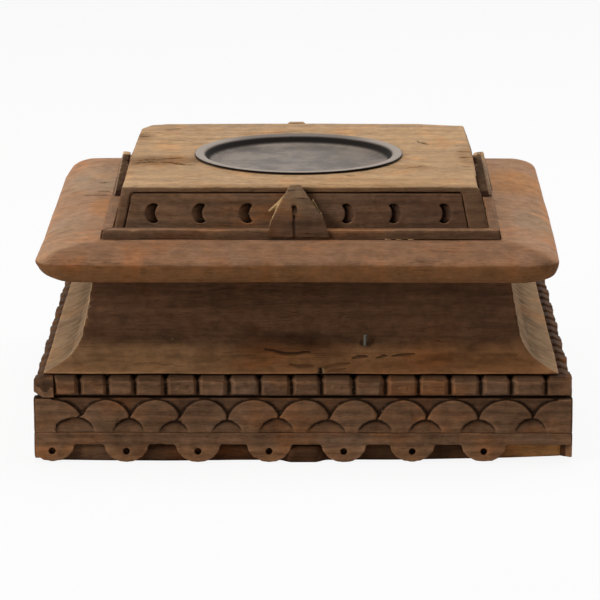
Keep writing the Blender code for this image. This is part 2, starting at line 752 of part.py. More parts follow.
def main():
    clear_scene()
    plinth_wood = finish("plinth_wood", (0.13, 0.075, 0.042), 0.72)
    cove_wood = finish("cove_wood", (0.16, 0.092, 0.05), 0.7)
    slab_wood = finish("slab_wood", (0.23, 0.14, 0.08), 0.68)
    top_wood = finish("top_wood", (0.34, 0.21, 0.115), 0.66)
    panel_wood = finish("panel_wood", (0.15, 0.09, 0.052), 0.7)
    dowel_wood = finish("dowel_wood", (0.3, 0.2, 0.12), 0.7)
    dish_metal = finish("dish_metal", (0.075, 0.062, 0.052), 0.5, 0.85)
    nail_metal = finish("nail_metal", (0.2, 0.19, 0.18), 0.55, 0.9)
    plinth_sides = side_frames("plinth", Vector((0, 0)))
    block_sides = side_frames("block", BLOCK_OFFSET)
    core = plinth_core(plinth_wood)
    pendant_strips(plinth_sides, plinth_wood)
    scale_strips(plinth_sides, plinth_wood)
    stud_strips(plinth_sides, plinth_wood)
    cove = cove_block(cove_wood)
    cove_nail(cove, nail_metal)
    slab = cap_slab(slab_wood)
    collars(block_sides, slab_wood)
    block = top_block(top_wood)
    crescent_panels(block, block_sides, panel_wood)
    gable_bosses(block_sides, panel_wood)
    candle_dish(block, dish_metal)
    lower_joint = (PLINTH_TOP + COVE_FOOT) / 2
    middle_joint = (COVE_TOP + SLAB_FOOT) / 2
    upper_joint = (SLAB_TOP + BLOCK_FOOT) / 2
    lower = (LOWER_DOWEL, LOWER_DOWEL_LENGTH, LOWER_DOWEL_SPACING)
    middle = (MIDDLE_DOWEL, MIDDLE_DOWEL_LENGTH, MIDDLE_DOWEL_SPACING)
    upper = (UPPER_DOWEL, UPPER_DOWEL_LENGTH, UPPER_DOWEL_SPACING)
    dowels("lower_dowel", lower, lower_joint, (core, cove), dowel_wood)
    dowels("middle_dowel", middle, middle_joint, (cove, slab), dowel_wood)
    dowels("upper_dowel", upper, upper_joint, (slab, block), dowel_wood)


if __name__ == "__main__":
    main()
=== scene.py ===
"""Dresses the CAD frame of an old carved wooden candle stand with worn wood and a metal dish.

Metres, +Z up, the front faces -Y. Sizes written in millimetres are times MM.
"""

import math
import random

import bpy
import numpy as np
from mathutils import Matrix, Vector


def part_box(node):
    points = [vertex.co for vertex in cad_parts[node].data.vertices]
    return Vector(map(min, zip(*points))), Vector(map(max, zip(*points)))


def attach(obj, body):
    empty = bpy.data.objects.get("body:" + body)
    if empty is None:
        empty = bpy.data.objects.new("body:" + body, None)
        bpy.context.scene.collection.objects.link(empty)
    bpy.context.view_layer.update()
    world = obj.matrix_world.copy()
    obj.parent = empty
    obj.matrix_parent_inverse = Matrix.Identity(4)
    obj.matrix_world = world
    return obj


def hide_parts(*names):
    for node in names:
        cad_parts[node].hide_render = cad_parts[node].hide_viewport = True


bl_info = {
    "name": "Carved candle stand",
    "version": (1, 0, 0),
    "blender": (4, 5, 0),
    "location": "View3D > Sidebar > Stand",
    "description": "Models the worn wood, the metal dish and the studio round a candle stand's CAD frame",
    "category": "Object",
}

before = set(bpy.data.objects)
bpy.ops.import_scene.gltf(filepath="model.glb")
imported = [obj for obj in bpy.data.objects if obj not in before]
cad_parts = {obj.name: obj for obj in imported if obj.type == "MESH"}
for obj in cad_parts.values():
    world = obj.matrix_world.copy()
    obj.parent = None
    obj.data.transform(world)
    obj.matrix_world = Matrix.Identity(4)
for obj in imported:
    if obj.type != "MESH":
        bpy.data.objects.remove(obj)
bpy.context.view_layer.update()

MM = 0.001
SIDES = ("front", "right", "back", "left")
QUARTER_TURNS = ((1, 0), (0, 1), (-1, 0), (0, -1))
WELD = 0.001 * MM


def length_setting(name, description, default, low, high):
    """A length that a user may change, given here in millimetres and kept in metres."""
    return bpy.props.FloatProperty(
        name=name, description=description, default=default * MM, min=low * MM, max=high * MM,
        precision=5, unit="LENGTH",
    )


def colour_setting(name, description, default):
    """A colour that a user may change."""
    return bpy.props.FloatVectorProperty(
        name=name, description=description, default=default, subtype="COLOR"
    )


class StandSizes(bpy.types.PropertyGroup):
    """Sizes of the worn wood that a user would change."""

    strip_cell: length_setting(
        "Strip cell", "Size of the mesh cells on the carved strips, panels and collars", 0.5, 0.3, 2
    )
    block_cell: length_setting(
        "Block cell", "Size of the mesh cells on the cove, the slab and the top block", 0.95, 0.5, 4
    )
    chip_depth: length_setting("Chip depth", "Deepest chip along a worn edge", 1.3, 0, 3)
    ripple: length_setting(
        "Grain ripple", "Height of the ripple that the grain leaves in a worn face", 0.11, 0, 1
    )


class StandColours(bpy.types.PropertyGroup):
    """Colours of the wood and the metal."""

    band: colour_setting("Carved bands", "Old wood of the plinth's carved bands", (0.165, 0.086, 0.045))
    cove: colour_setting("Cove", "Dark wood of the cove's front and back", (0.105, 0.05, 0.025))
    cove_end: colour_setting(
        "Cove ends", "Pale end grain on the cove's left and right faces", (0.41, 0.258, 0.138)
    )
    slab: colour_setting("Slab", "Wood of the slab's upper face", (0.33, 0.185, 0.105))
    slab_edge: colour_setting("Slab edge", "Redder wood of the slab's edge", (0.19, 0.084, 0.033))
    honey: colour_setting("Honey top", "Rubbed bare wood of the block's top", (0.5, 0.315, 0.17))
    panel: colour_setting(
        "Panels", "Dark wood of the crescent panels and the block's sides", (0.17, 0.092, 0.05)
    )
    iron: colour_setting("Dish iron", "Dull metal of the candle dish", (0.17, 0.14, 0.116))


# Modelling helpers


def sizes():
    return bpy.context.scene.stand_sizes


def colours():
    return bpy.context.scene.stand_colours


def deselect():
    """Leaves edit mode and lets go of everything that is selected."""
    active = bpy.context.view_layer.objects.active
    if active is not None and active.mode != "OBJECT":
        bpy.ops.object.mode_set(mode="OBJECT")
    bpy.ops.object.select_all(action="DESELECT")


def activate(piece):
    deselect()
    piece.select_set(True)
    bpy.context.view_layer.objects.active = piece


def copy_node(name, node):
    """A copy of a CAD node's mesh with its loose triangles merged."""
    piece = bpy.data.objects.new(name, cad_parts[node].data.copy())
    piece.data.name = name
    piece.data.materials.clear()
    bpy.context.scene.collection.objects.link(piece)
    activate(piece)
    bpy.ops.object.mode_set(mode="EDIT")
    bpy.ops.mesh.select_all(action="SELECT")
    bpy.ops.mesh.remove_doubles(threshold=WELD)
    bpy.ops.object.mode_set(mode="OBJECT")
    return piece


def modify(piece, kind, **settings):
    """Adds a modifier with these settings and applies it."""
    modifier = piece.modifiers.new(kind.lower(), kind)
    for key, value in settings.items():
        setattr(modifier, key, value)
    activate(piece)
    bpy.ops.object.modifier_apply(modifier=modifier.name)


def read_vectors(rows, key):
    """Three numbers for each point or face of a mesh, such as its place or its normal."""
    flat = np.empty(3 * len(rows), dtype=np.float32)
    rows.foreach_get(key, flat)
    return flat.reshape(-1, 3).astype(float)


def read_places(piece):
    return read_vectors(piece.data.vertices, "co")


def read_normals(piece):
    return read_vectors(piece.data.vertices, "normal")


def write_places(piece, places):
    piece.data.vertices.foreach_set("co", places.astype(np.float32).ravel())
    piece.data.update()


def reshape(piece, *changes):
    """Runs a piece's points through each of these changes."""
    places = read_places(piece)
    for change in changes:
        places = change(places)
    write_places(piece, places)


def ramp(value, start, end):
    """Rises from 0 at start to 1 at end."""
    return np.clip((value - start) / (end - start), 0, 1)


def turned(places, quarters):
    """Places turned by quarter turns about the upright axis through the origin."""
    cosine, sine = QUARTER_TURNS[quarters % 4]
    out = places.copy()
    out[:, 0] = cosine * places[:, 0] - sine * places[:, 1]
    out[:, 1] = sine * places[:, 0] + cosine * places[:, 1]
    return out


def face_facts(piece):
    """The middles and normals of a piece's faces."""
    faces = piece.data.polygons
    return read_vectors(faces, "center"), read_vectors(faces, "normal")


def select_faces(piece, chosen):
    """Opens edit mode with only the chosen faces selected."""
    activate(piece)
    bpy.context.tool_settings.mesh_select_mode = (False, False, True)
    bpy.ops.object.mode_set(mode="EDIT")
    bpy.ops.mesh.select_all(action="DESELECT")
    bpy.ops.object.mode_set(mode="OBJECT")
    piece.data.polygons.foreach_set("select", chosen)
    bpy.ops.object.mode_set(mode="EDIT")


def thin_hidden(piece, hidden, keep=0.06):
    """Collapses the faces that no one sees, because they lie against another piece."""
    middles, normals = face_facts(piece)
    chosen = hidden(middles, normals)
    if not chosen.any():
        return
    select_faces(piece, chosen)
    bpy.ops.mesh.decimate(ratio=keep)
    bpy.ops.object.mode_set(mode="OBJECT")


def bulge(piece, rounds):
    """How far each point stands out of the surface smoothed over its neighbours, in metres."""
    mesh = piece.data
    places = read_places(piece)
    ends = np.empty(2 * len(mesh.edges), dtype=np.int32)
    mesh.edges.foreach_get("vertices", ends)
    ends = ends.reshape(-1, 2)
    here = np.concatenate((ends[:, 0], ends[:, 1]))
    there = np.concatenate((ends[:, 1], ends[:, 0]))
    share = 1 / np.maximum(np.bincount(here, minlength=len(places)), 1)
    soft = places.copy()
    for _ in range(rounds):
        soft = np.stack(
            [np.bincount(here, soft[there, axis], len(places)) * share for axis in range(3)], axis=1
        )
    return ((places - soft) * read_normals(piece)).sum(axis=1)


def point_layer(piece, name):
    return piece.data.attributes.get(name) or piece.data.attributes.new(name, "FLOAT", "POINT")


def set_attribute(piece, name, values):
    point_layer(piece, name).data.foreach_set("value", values.astype(np.float32))


def add_cut_shade(piece, values):
    """Remembers where a piece was cut open, for the finishes to paint shade in the cut."""
    before = np.empty(len(values), dtype=np.float32)
    point_layer(piece, "cut").data.foreach_get("value", before)
    set_attribute(piece, "cut", np.maximum(before, values))


def mark_wear(piece):
    """Stores where edges stand out and where hollows lie, for the finishes to paint as rubbed wear with a
    painted highlight and as dirt with painted shade.
    """
    fine = bulge(piece, 6) / MM
    broad = bulge(piece, 40) / MM
    set_attribute(piece, "worn", np.clip(fine / 0.22, 0, 1))
    set_attribute(piece, "hollow", np.clip(-fine / 0.25, 0, 1) * 0.5 + np.clip(-broad / 0.8, 0, 1) * 0.5)


def cloud(name, depth, kind):
    texture = bpy.data.textures.new(name, "CLOUDS")
    texture.noise_scale = 1.0
    texture.noise_depth = depth
    texture.cloud_type = kind
    return texture


def grain_guide(along, across, turns, shift):
    """An empty whose scale, in millimetres, draws a pattern out along the grain until it is applied."""
    guide = bpy.data.objects.new("grain_guide", None)
    bpy.context.scene.collection.objects.link(guide)
    guide.location = shift
    guide.rotation_euler = (0, 0, math.pi / 2 * turns)
    guide.scale = (along * MM, across * MM, across * MM)
    bpy.context.view_layer.update()
    return guide


def displace(piece, guide, texture, **settings):
    """Moves a piece's points by a pattern in the guide's frame, and then lets the two go."""
    modify(
        piece, "DISPLACE", texture=texture, texture_coords="OBJECT", texture_coords_object=guide,
        mid_level=0.5, **settings,
    )
    bpy.data.objects.remove(guide)
    bpy.data.textures.remove(texture)


def ripple(piece, along, across, height, turns=0, rise=0.0):
    """Raises and lowers a face in streaks that follow the grain, with lengths in millimetres."""
    guide = grain_guide(along, across, turns, (0, 0, rise))
    displace(piece, guide, cloud(piece.name + "_ripple", 2, "GRAYSCALE"), strength=height * MM)


def grain_ripple(piece, along, across, share, turns=0, rise=0.0):
    """A ripple with a share of the height that the user gives."""
    ripple(piece, along, across, share * sizes().ripple / MM, turns, rise)


def wander(piece, size, amount, seed):
    """Moves points a little in all directions, as hand cutting does, in millimetres."""
    guide = grain_guide(size, size, 0, (seed * 0.37, seed * 0.11, seed * 0.23))
    texture = cloud(piece.name + "_wander", 1, "COLOR")
    displace(piece, guide, texture, direction="RGB_TO_XYZ", strength=2 * amount * MM)


def nick_edges(piece, count, radius, share, seed):
    """Knocks small chips, with a share of the user's depth, out of the edges that stand out."""
    draw = random.Random(seed)
    places = read_places(piece)
    normals = read_normals(piece)
    stands_out = bulge(piece, 10)
    edge = places[stands_out > 0.12 * MM]
    give = np.clip(stands_out / (0.3 * MM), 0, 1)
    low, high = places.min(axis=0), places.max(axis=0)
    for _ in range(count):
        aim = np.array([draw.uniform(a, b) for a, b in zip(low, high)])
        reach = radius * MM * draw.uniform(0.5, 1.5)
        sink = share * sizes().chip_depth * draw.uniform(0.3, 1.0)
        middle = edge[np.argmin(((edge - aim) ** 2).sum(axis=1))]
        gap = np.linalg.norm(places - middle, axis=1) / reach
        places -= normals * (sink * give * np.clip(1 - gap**2, 0, 1))[:, None]
    write_places(piece, places)


def wear_down(piece, cell, rounding):
    """Turns sharp CAD faces into even cells with rubbed edges."""
    modify(piece, "REMESH", mode="VOXEL", voxel_size=cell, use_smooth_shade=True)
    modify(piece, "SMOOTH", factor=0.5, iterations=rounding)


def finish_piece(piece, finish, slot, body, *nodes):
    """Gives a piece its finish and its body, and hides the nodes that it stands for; the slot is not used."""
    piece.data.materials.clear()
    piece.data.materials.append(finish)
    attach(piece, body)
    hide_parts(*nodes)


def along_path(flat, path):
    """Distance of flat points from a path, and how far along it each is, from 0 to 1."""
    best = np.full(len(flat), 1e9)
    share = np.zeros(len(flat))
    steps = len(path) - 1
    for i in range(steps):
        start = np.array(path[i])
        run = np.array(path[i + 1]) - start
        t = np.clip(((flat - start) @ run) / (run @ run), 0, 1)
        gap = np.linalg.norm(flat - start - t[:, None] * run, axis=1)
        nearer = gap < best
        best = np.where(nearer, gap, best)
        share = np.where(nearer, (i + t) / steps, share)
    return best, share


FACE_AXES = {
    "front": (0, 2, 1, -1),
    "back": (0, 2, 1, 1),
    "left": (1, 2, 0, -1),
    "right": (1, 2, 0, 1),
    "top": (0, 1, 2, 1),
}


def wandering(path, parts, sway, seed):
    """A path in millimetres broken into shorter runs that stray to the sides, in metres."""
    draw = random.Random(seed)
    out = [path[0]]
    for start, end in zip(path[:-1], path[1:]):
        for k in range(1, parts + 1):
            t = k / parts
            stray = 0 if k == parts else sway
            out.append(
                tuple(a + (b - a) * t + draw.uniform(-stray, stray) for a, b in zip(start, end))
            )
    return [(a * MM, b * MM) for a, b in out]


def press_in(piece, face, near, shape, depth, cuts, dark):
    """Presses a mark into one face: finer cells first, then the points, then the painted shade of the cut."""
    across, upright, inward, outward = FACE_AXES[face]
    middles, normals = face_facts(piece)
    chosen = near(middles[:, (across, upright)]) & (normals[:, inward] * outward > 0.25)
    if not chosen.any():
        return
    select_faces(piece, chosen)
    bpy.ops.mesh.subdivide(number_cuts=cuts)
    bpy.ops.object.mode_set(mode="OBJECT")
    places = read_places(piece)
    facing = read_normals(piece)[:, inward] * outward > 0.2
    push = shape(places[:, (across, upright)]) * facing
    places[:, inward] -= outward * depth * MM * push
    write_places(piece, places)
    add_cut_shade(piece, dark * push)


def split(piece, face, path, width, depth, seed, parts=4, sway=0.6, dark=0.9):
    """Opens a crack along a path drawn on one face, widest at its middle."""
    route = wandering(path, parts, sway, seed)

    def near(flat):
        return along_path(flat, route)[0] < (0.6 + 1.2 * width) * MM

    def shape(flat):
        gap, share = along_path(flat, route)
        narrow = width * MM * (0.35 + 0.65 * np.sin(np.pi * np.clip(share, 0.02, 0.98)))
        return np.sqrt(np.clip(1 - gap / narrow, 0, 1))

    press_in(piece, face, near, shape, depth, 2 if width < 0.8 else 1, dark)


def dent(piece, face, middle, radius, depth, dark):
    """Presses a round hollow into one face."""
    def gap(flat):
        return np.linalg.norm(flat - np.array(middle) * MM, axis=1) / (radius * MM)

    def shape(flat):
        return np.clip(1 - gap(flat) ** 2, 0, 1)

    press_in(piece, face, lambda flat: gap(flat) < 1.5, shape, depth, 2, dark)


# Finishes


def feed(tree, socket, value):
    """Joins a socket to the output given, or sets its value."""
    if isinstance(value, bpy.types.NodeSocket):
        tree.links.new(value, socket)
    elif value is not None:
        if socket.type == "RGBA" and len(value) == 3:
            value = (*value, 1.0)
        socket.default_value = value


def maths(tree, operation, first, second=None, third=None, clamp=False):
    made = tree.nodes.new("ShaderNodeMath")
    made.operation = operation
    made.use_clamp = clamp
    for socket, value in zip(made.inputs, (first, second, third)):
        feed(tree, socket, value)
    return made.outputs[0]


def mix(tree, factor, first, second, blend="MIX"):
    made = tree.nodes.new("ShaderNodeMix")
    made.data_type = "RGBA"
    made.blend_type = blend
    made.clamp_factor = True
    feed(tree, made.inputs[0], factor)
    feed(tree, made.inputs[6], first)
    feed(tree, made.inputs[7], second)
    return made.outputs[2]


def step(tree, value, low, high):
    """A mask that goes smoothly from 0 at low to 1 at high."""
    made = tree.nodes.new("ShaderNodeMapRange")
    made.interpolation_type = "SMOOTHSTEP"
    feed(tree, made.inputs["Value"], value)
    made.inputs["From Min"].default_value = low
    made.inputs["From Max"].default_value = high
    return made.outputs["Result"]


def times(tree, first, second):
    return maths(tree, "MULTIPLY", first, second)


def tint(tree, mask, colour, by):
    """A colour that is multiplied by another where the mask is 1."""
    return mix(tree, mask, colour, mix(tree, 1.0, colour, by, "MULTIPLY"))


def axes(tree, vector):
    made = tree.nodes.new("ShaderNodeSeparateXYZ")
    feed(tree, made.inputs[0], vector)
    return made.outputs


def lead(tree, first, second):
    """How much larger one length is than another, whatever their signs."""
    return maths(tree, "SUBTRACT", maths(tree, "ABSOLUTE", first), maths(tree, "ABSOLUTE", second))


def drawn_out(tree, vector, scale, shift=(0.0, 0.0, 0.0), turn=0.0):
    """A vector with its axes scaled, turned and shifted, to draw a pattern out along the grain."""
    made = tree.nodes.new("ShaderNodeMapping")
    feed(tree, made.inputs["Vector"], vector)
    made.inputs["Scale"].default_value = scale
    made.inputs["Location"].default_value = shift
    made.inputs["Rotation"].default_value = (0.0, 0.0, turn)
    return made.outputs[0]


def speckle(tree, vector, scale, detail, roughness=0.5, distortion=0.0):
    made = tree.nodes.new("ShaderNodeTexNoise")
    feed(tree, made.inputs["Vector"], vector)
    made.inputs["Scale"].default_value = scale
    made.inputs["Detail"].default_value = detail
    made.inputs["Roughness"].default_value = roughness
    made.inputs["Distortion"].default_value = distortion
    return made.outputs[0]


def drawn_speckle(tree, vector, scale, detail, roughness=0.5, distortion=0.0, shift=(0.0, 0.0, 0.0)):
    return speckle(tree, drawn_out(tree, vector, scale, shift), 1.0, detail, roughness, distortion)


def shader_group(name, inputs, build):
    """A node group made once: build gets its tree and its inputs, and gives its outputs by name."""
    if name in bpy.data.node_groups:
        return bpy.data.node_groups[name]
    tree = bpy.data.node_groups.new(name, "ShaderNodeTree")
    for label, kind in inputs.items():
        tree.interface.new_socket(label, in_out="INPUT", socket_type=f"NodeSocket{kind}")
    made = build(tree, tree.nodes.new("NodeGroupInput").outputs)
    for label in made:
        tree.interface.new_socket(label, in_out="OUTPUT", socket_type="NodeSocketFloat")
    end = tree.nodes.new("NodeGroupOutput")
    for label, value in made.items():
        feed(tree, end.inputs[label], value)
    return tree


def wood_figure():
    """Grain from a place in millimetres, with the fibres along X: fibres, streaks, rings, splits, pores."""
    def build(tree, given):
        place = given["Vector"]
        wave = tree.nodes.new("ShaderNodeTexWave")
        wave.wave_type = "RINGS"
        wave.rings_direction = "X"
        feed(tree, wave.inputs["Vector"], drawn_out(tree, place, (0.02, 1.0, 1.0), (0.0, 18.0, 62.0)))
        for label, value in (("Scale", 0.075), ("Distortion", 3.5), ("Detail", 3.0), ("Detail Scale", 0.8)):
            wave.inputs[label].default_value = value
        line = drawn_speckle(tree, place, (0.014, 0.34, 0.34), 3.0, 0.5, 0.4, (31.0, 7.0, 3.0))
        narrow = step(tree, maths(tree, "ABSOLUTE", maths(tree, "SUBTRACT", line, 0.5)), 0.016, 0.003)
        some = step(tree, drawn_speckle(tree, place, (0.02, 0.07, 0.07), 1.0), 0.5, 0.62)
        cells = tree.nodes.new("ShaderNodeTexVoronoi")
        feed(tree, cells.inputs["Vector"], drawn_out(tree, place, (0.22, 1.5, 1.5)))
        cells.inputs["Scale"].default_value = 1.0
        few = step(tree, drawn_speckle(tree, place, (0.05, 0.2, 0.2), 2.0, shift=(5.0, 9.0, 2.0)), 0.45, 0.6)
        return {
            "Fibre": drawn_speckle(tree, place, (0.15, 1.3, 1.3), 5.0, 0.64, 0.3),
            "Streak": drawn_speckle(tree, place, (0.022, 0.13, 0.13), 4.0, 0.58, 0.9),
            "Ring": wave.outputs["Fac"],
            "Split": times(tree, narrow, some),
            "Pore": times(tree, step(tree, cells.outputs["Distance"], 0.3, 0.12), few),
        }

    return shader_group("wood_figure", {"Vector": "Vector"}, build)


def wear_marks():
    """Rubbed edges lightened with a painted highlight where they do not face down, and dirt with painted
    shade in hollows, broken up so that no edge is even.
    """
    def build(tree, given):
        place = given["Vector"]
        coarse = drawn_speckle(tree, place, (0.06, 0.15, 0.15), 4.0, 0.6, shift=(3.0, 8.0, 1.0))
        rubbed = times(tree, given["Worn"], step(tree, coarse, 0.38, 0.66))
        held = maths(tree, "MULTIPLY_ADD", maths(tree, "SUBTRACT", coarse, 0.5), 0.35, given["Hollow"])
        fine = step(tree, speckle(tree, place, 0.9, 3.0, 0.6), 0.6, 0.72)
        return {
            # The painted highlight keeps to edges that do not face down.
            "Bare": times(tree, rubbed, step(tree, given["Upward"], -0.5, 0.1)),
            "Grime": step(tree, held, 0.08, 0.6),
            "Dust": times(tree, step(tree, held, 0.2, 0.55), fine),
        }

    inputs = {"Vector": "Vector", "Worn": "Float", "Hollow": "Float", "Upward": "Float"}
    return shader_group("wear_marks", inputs, build)


def weather_patches():
    """Large soft patches: warm rubbed wood, grey weathered wood and dark stains."""
    def build(tree, given):
        made = {}
        for label, scale, shift, roughness, low, high in (
            ("Warm", (0.018, 0.05, 0.05), (1.0, 4.0, 7.0), 0.6, 0.5, 0.68),
            ("Grey", (0.022, 0.06, 0.06), (9.0, 2.0, 5.0), 0.6, 0.48, 0.66),
            ("Stain", (0.025, 0.07, 0.07), (4.0, 6.0, 2.0), 0.62, 0.54, 0.7),
        ):
            patch = drawn_speckle(tree, given["Vector"], scale, 4.0, roughness, shift=shift)
            made[label] = step(tree, patch, low, high)
        made["Mottle"] = speckle(tree, given["Fine"], 0.16, 5.0, 0.7, 0.4)
        return made

    return shader_group("weather_patches", {"Vector": "Vector", "Fine": "Vector"}, build)


def use_group(tree, group, **feeds):
    made = tree.nodes.new("ShaderNodeGroup")
    made.node_tree = group
    for label, value in feeds.items():
        feed(tree, made.inputs[label], value)
    return made.outputs


def shade(colour, factor):
    return tuple(min(channel * factor, 1.0) for channel in colour)


def span(tree, mask, tone, dark, light):
    """From a darker to a lighter shade of one tone."""
    return mix(tree, mask, shade(tone, dark), shade(tone, light))


def attribute(tree, name):
    made = tree.nodes.new("ShaderNodeAttribute")
    made.attribute_name = name
    return made.outputs["Fac"]


def new_material(name):
    made = bpy.data.materials.new(name)
    made.use_nodes = True
    return made, made.node_tree, made.node_tree.nodes["Principled BSDF"]


def object_place(tree):
    return tree.nodes.new("ShaderNodeTexCoord").outputs["Object"]


def face_normal(tree):
    return axes(tree, tree.nodes.new("ShaderNodeNewGeometry").outputs["Normal"])


def add_bump(tree, shader, height, strength, distance):
    bump = tree.nodes.new("ShaderNodeBump")
    bump.inputs["Strength"].default_value = strength
    bump.inputs["Distance"].default_value = distance * MM
    feed(tree, bump.inputs["Height"], height)
    feed(tree, shader.inputs["Normal"], bump.outputs[0])


WARMER = (1.45, 1.02, 0.62)
COOLER = (1.02, 1.12, 1.28)
STAINED = (0.5, 0.46, 0.44)
OPENED = (0.28, 0.24, 0.22)
RUBBED_AND_HIGHLIGHT = (1.75, 1.62, 1.5)
GRIME_AND_SHADE = (0.018, 0.009, 0.005)
RECESS_SHADE = (0.3, 0.25, 0.22)
DUST = (0.46, 0.38, 0.23)


def old_wood(
    name, side, end=None, top=None, turn=False, shift=(0.0, 0.0, 0.0), warm=0.7, grey=0.6, stain=0.5,
    bare=0.5, grime_and_shade=0.8, dust=0.3, contrast=1.0, streaks=1.1, sink=0.0, patch=(1.0, 1.0, 1.0), mottle=0.5,
    pores=0.55, rings=0.22, splits=1.0, extra=None, marks=None,
):
    """Old wood: a colour for the long faces, one for the end grain and one for the upper faces."""
    made, tree, shader = new_material(name)
    place = object_place(tree)
    grain = drawn_out(tree, place, (1 / MM, 1 / MM, 1 / MM), shift, math.pi / 2 if turn else 0.0)
    facing = face_normal(tree)
    figure = use_group(tree, wood_figure(), Vector=grain)
    wear = use_group(
        tree, wear_marks(), Vector=grain, Worn=attribute(tree, "worn"), Hollow=attribute(tree, "hollow"),
        Upward=facing["Z"],
    )
    patches = use_group(tree, weather_patches(), Vector=drawn_out(tree, grain, patch), Fine=grain)
    blend = maths(tree, "MULTIPLY_ADD", figure["Streak"], streaks, times(tree, figure["Fibre"], 0.9))
    blend = maths(tree, "MULTIPLY_ADD", figure["Ring"], rings, blend)
    middle = 0.5 * (streaks + 0.9 + rings)
    tone = maths(tree, "SUBTRACT", blend, middle)
    tone = maths(tree, "MULTIPLY_ADD", tone, 1.5 * contrast, 0.5, clamp=True)
    colour = span(tree, tone, side, 0.55, 1.4)
    if end is not None:
        end_way, long_way = (facing["Y"], facing["X"]) if turn else (facing["X"], facing["Y"])
        at_end = step(tree, lead(tree, end_way, long_way), -0.12, 0.12)
        colour = mix(tree, at_end, colour, span(tree, tone, end, 0.76, 1.2))
    if extra is not None:
        colour = extra(tree, place, facing, figure, colour)
    # Upper faces take their own tone: the block's honey top is bare wood, the lighter tops of the collars and
    # panels are a painted highlight, and the darker ledge of the scale bands is dirt with painted shade.
    if top is not None:
        colour = mix(tree, step(tree, facing["Z"], 0.45, 0.8), colour, span(tree, tone, top, 0.66, 1.28))
    for label, share, by in (("Warm", warm, WARMER), ("Grey", grey, COOLER), ("Stain", stain, STAINED)):
        colour = tint(tree, times(tree, patches[label], share), colour, by)
    cloudy = maths(tree, "MULTIPLY_ADD", patches["Mottle"], 2 * mottle, 1 - mottle)
    colour = mix(tree, 1.0, colour, cloudy, "MULTIPLY")
    if marks is not None:
        colour = marks(tree, place, figure, colour)
    lines = maths(tree, "MAXIMUM", times(tree, figure["Split"], splits), times(tree, figure["Pore"], pores))
    colour = tint(tree, times(tree, lines, 0.8), colour, OPENED)
    # Rubbed bare edges, lightened further as a painted highlight where they do not face down.
    colour = tint(tree, times(tree, wear["Bare"], bare), colour, RUBBED_AND_HIGHLIGHT)
    # Dirt in hollows, darkened further as painted shade.
    colour = mix(tree, times(tree, wear["Grime"], grime_and_shade), colour, GRIME_AND_SHADE)
    # Painted shade in recesses, deeper behind the carved face.
    colour = tint(tree, times(tree, attribute(tree, "sunk"), sink), colour, RECESS_SHADE)
    colour = mix(tree, times(tree, wear["Dust"], dust), colour, DUST)
    # Painted shade inside cracks, notches and holes.
    colour = mix(tree, attribute(tree, "cut"), colour, GRIME_AND_SHADE)
    feed(tree, shader.inputs["Base Color"], colour)
    rough = maths(tree, "MULTIPLY_ADD", figure["Fibre"], 0.25, 0.52)
    rough = maths(tree, "MULTIPLY_ADD", wear["Grime"], 0.15, rough, clamp=True)
    feed(tree, shader.inputs["Roughness"], rough)
    shader.inputs["Specular IOR Level"].default_value = 0.04
    height = maths(tree, "MULTIPLY_ADD", figure["Fibre"], 0.8, times(tree, lines, -1.0))
    height = maths(tree, "MULTIPLY_ADD", figure["Streak"], 0.3, height)
    add_bump(tree, shader, height, 0.55, 0.45)
    return made


def spot(tree, place, middle, reach):
    """A soft oval mask about a place, in millimetres."""
    shift = [-m / r for m, r in zip(middle, reach)]
    near = drawn_out(tree, place, [1 / (r * MM) for r in reach], shift)
    size = tree.nodes.new("ShaderNodeVectorMath")
    size.operation = "LENGTH"
    feed(tree, size.inputs[0], near)
    return step(tree, size.outputs["Value"], 1.0, 0.4)


def by_height(tree, place, low, high):
    """A mask that goes from 0 to 1 between two heights in millimetres."""
    return step(tree, axes(tree, place)["Z"], low * MM, high * MM)


def honey_tip(tree, place, facing, figure, colour):
    """A boss is rubbed bare towards its tip."""
    bare = mix(tree, figure["Fibre"], (0.24, 0.14, 0.075), (0.5, 0.33, 0.2))
    foot = by_height(tree, place, 101.0, 97.0)
    slope = maths(tree, "SUBTRACT", by_height(tree, place, 110.0, 104.0), foot)
    colour = tint(tree, foot, colour, (1.18, 1.12, 1.1))
    colour = tint(tree, slope, colour, (0.9, 0.86, 0.84))
    colour = mix(tree, 1.0, colour, (0.82, 0.82, 0.82), "MULTIPLY")
    return mix(tree, times(tree, by_height(tree, place, 104.0, 118.0), 0.62), colour, bare)


def side_boss_tones(tree, place, facing, figure, colour):
    """The side of a boss on the left or the right that faces the front is painted dark as shade, with a
    painted highlight along its outer rim.
    """
    colour = honey_tip(tree, place, facing, figure, colour)
    front = step(tree, facing["Y"], -0.08, -0.35)
    at = axes(tree, place)
    right = step(tree, at["X"], -0.01, 0.01)
    # Painted shade on the side that faces the front, lighter on the right boss.
    painted_shade_tone = mix(tree, right, (0.036, 0.015, 0.01), (0.11, 0.06, 0.037))
    out = maths(tree, "MULTIPLY_ADD", at["Z"], 0.21, maths(tree, "ABSOLUTE", at["X"]))
    out = maths(tree, "MULTIPLY_ADD", right, 0.0024, out)
    # Painted highlight along the outer rim.
    rubbed = mix(tree, figure["Fibre"], (0.36, 0.23, 0.14), (0.66, 0.46, 0.3))
    edge = mix(tree, step(tree, out, 0.1097, 0.1104), painted_shade_tone, rubbed)
    return mix(tree, times(tree, front, 0.93), colour, edge)


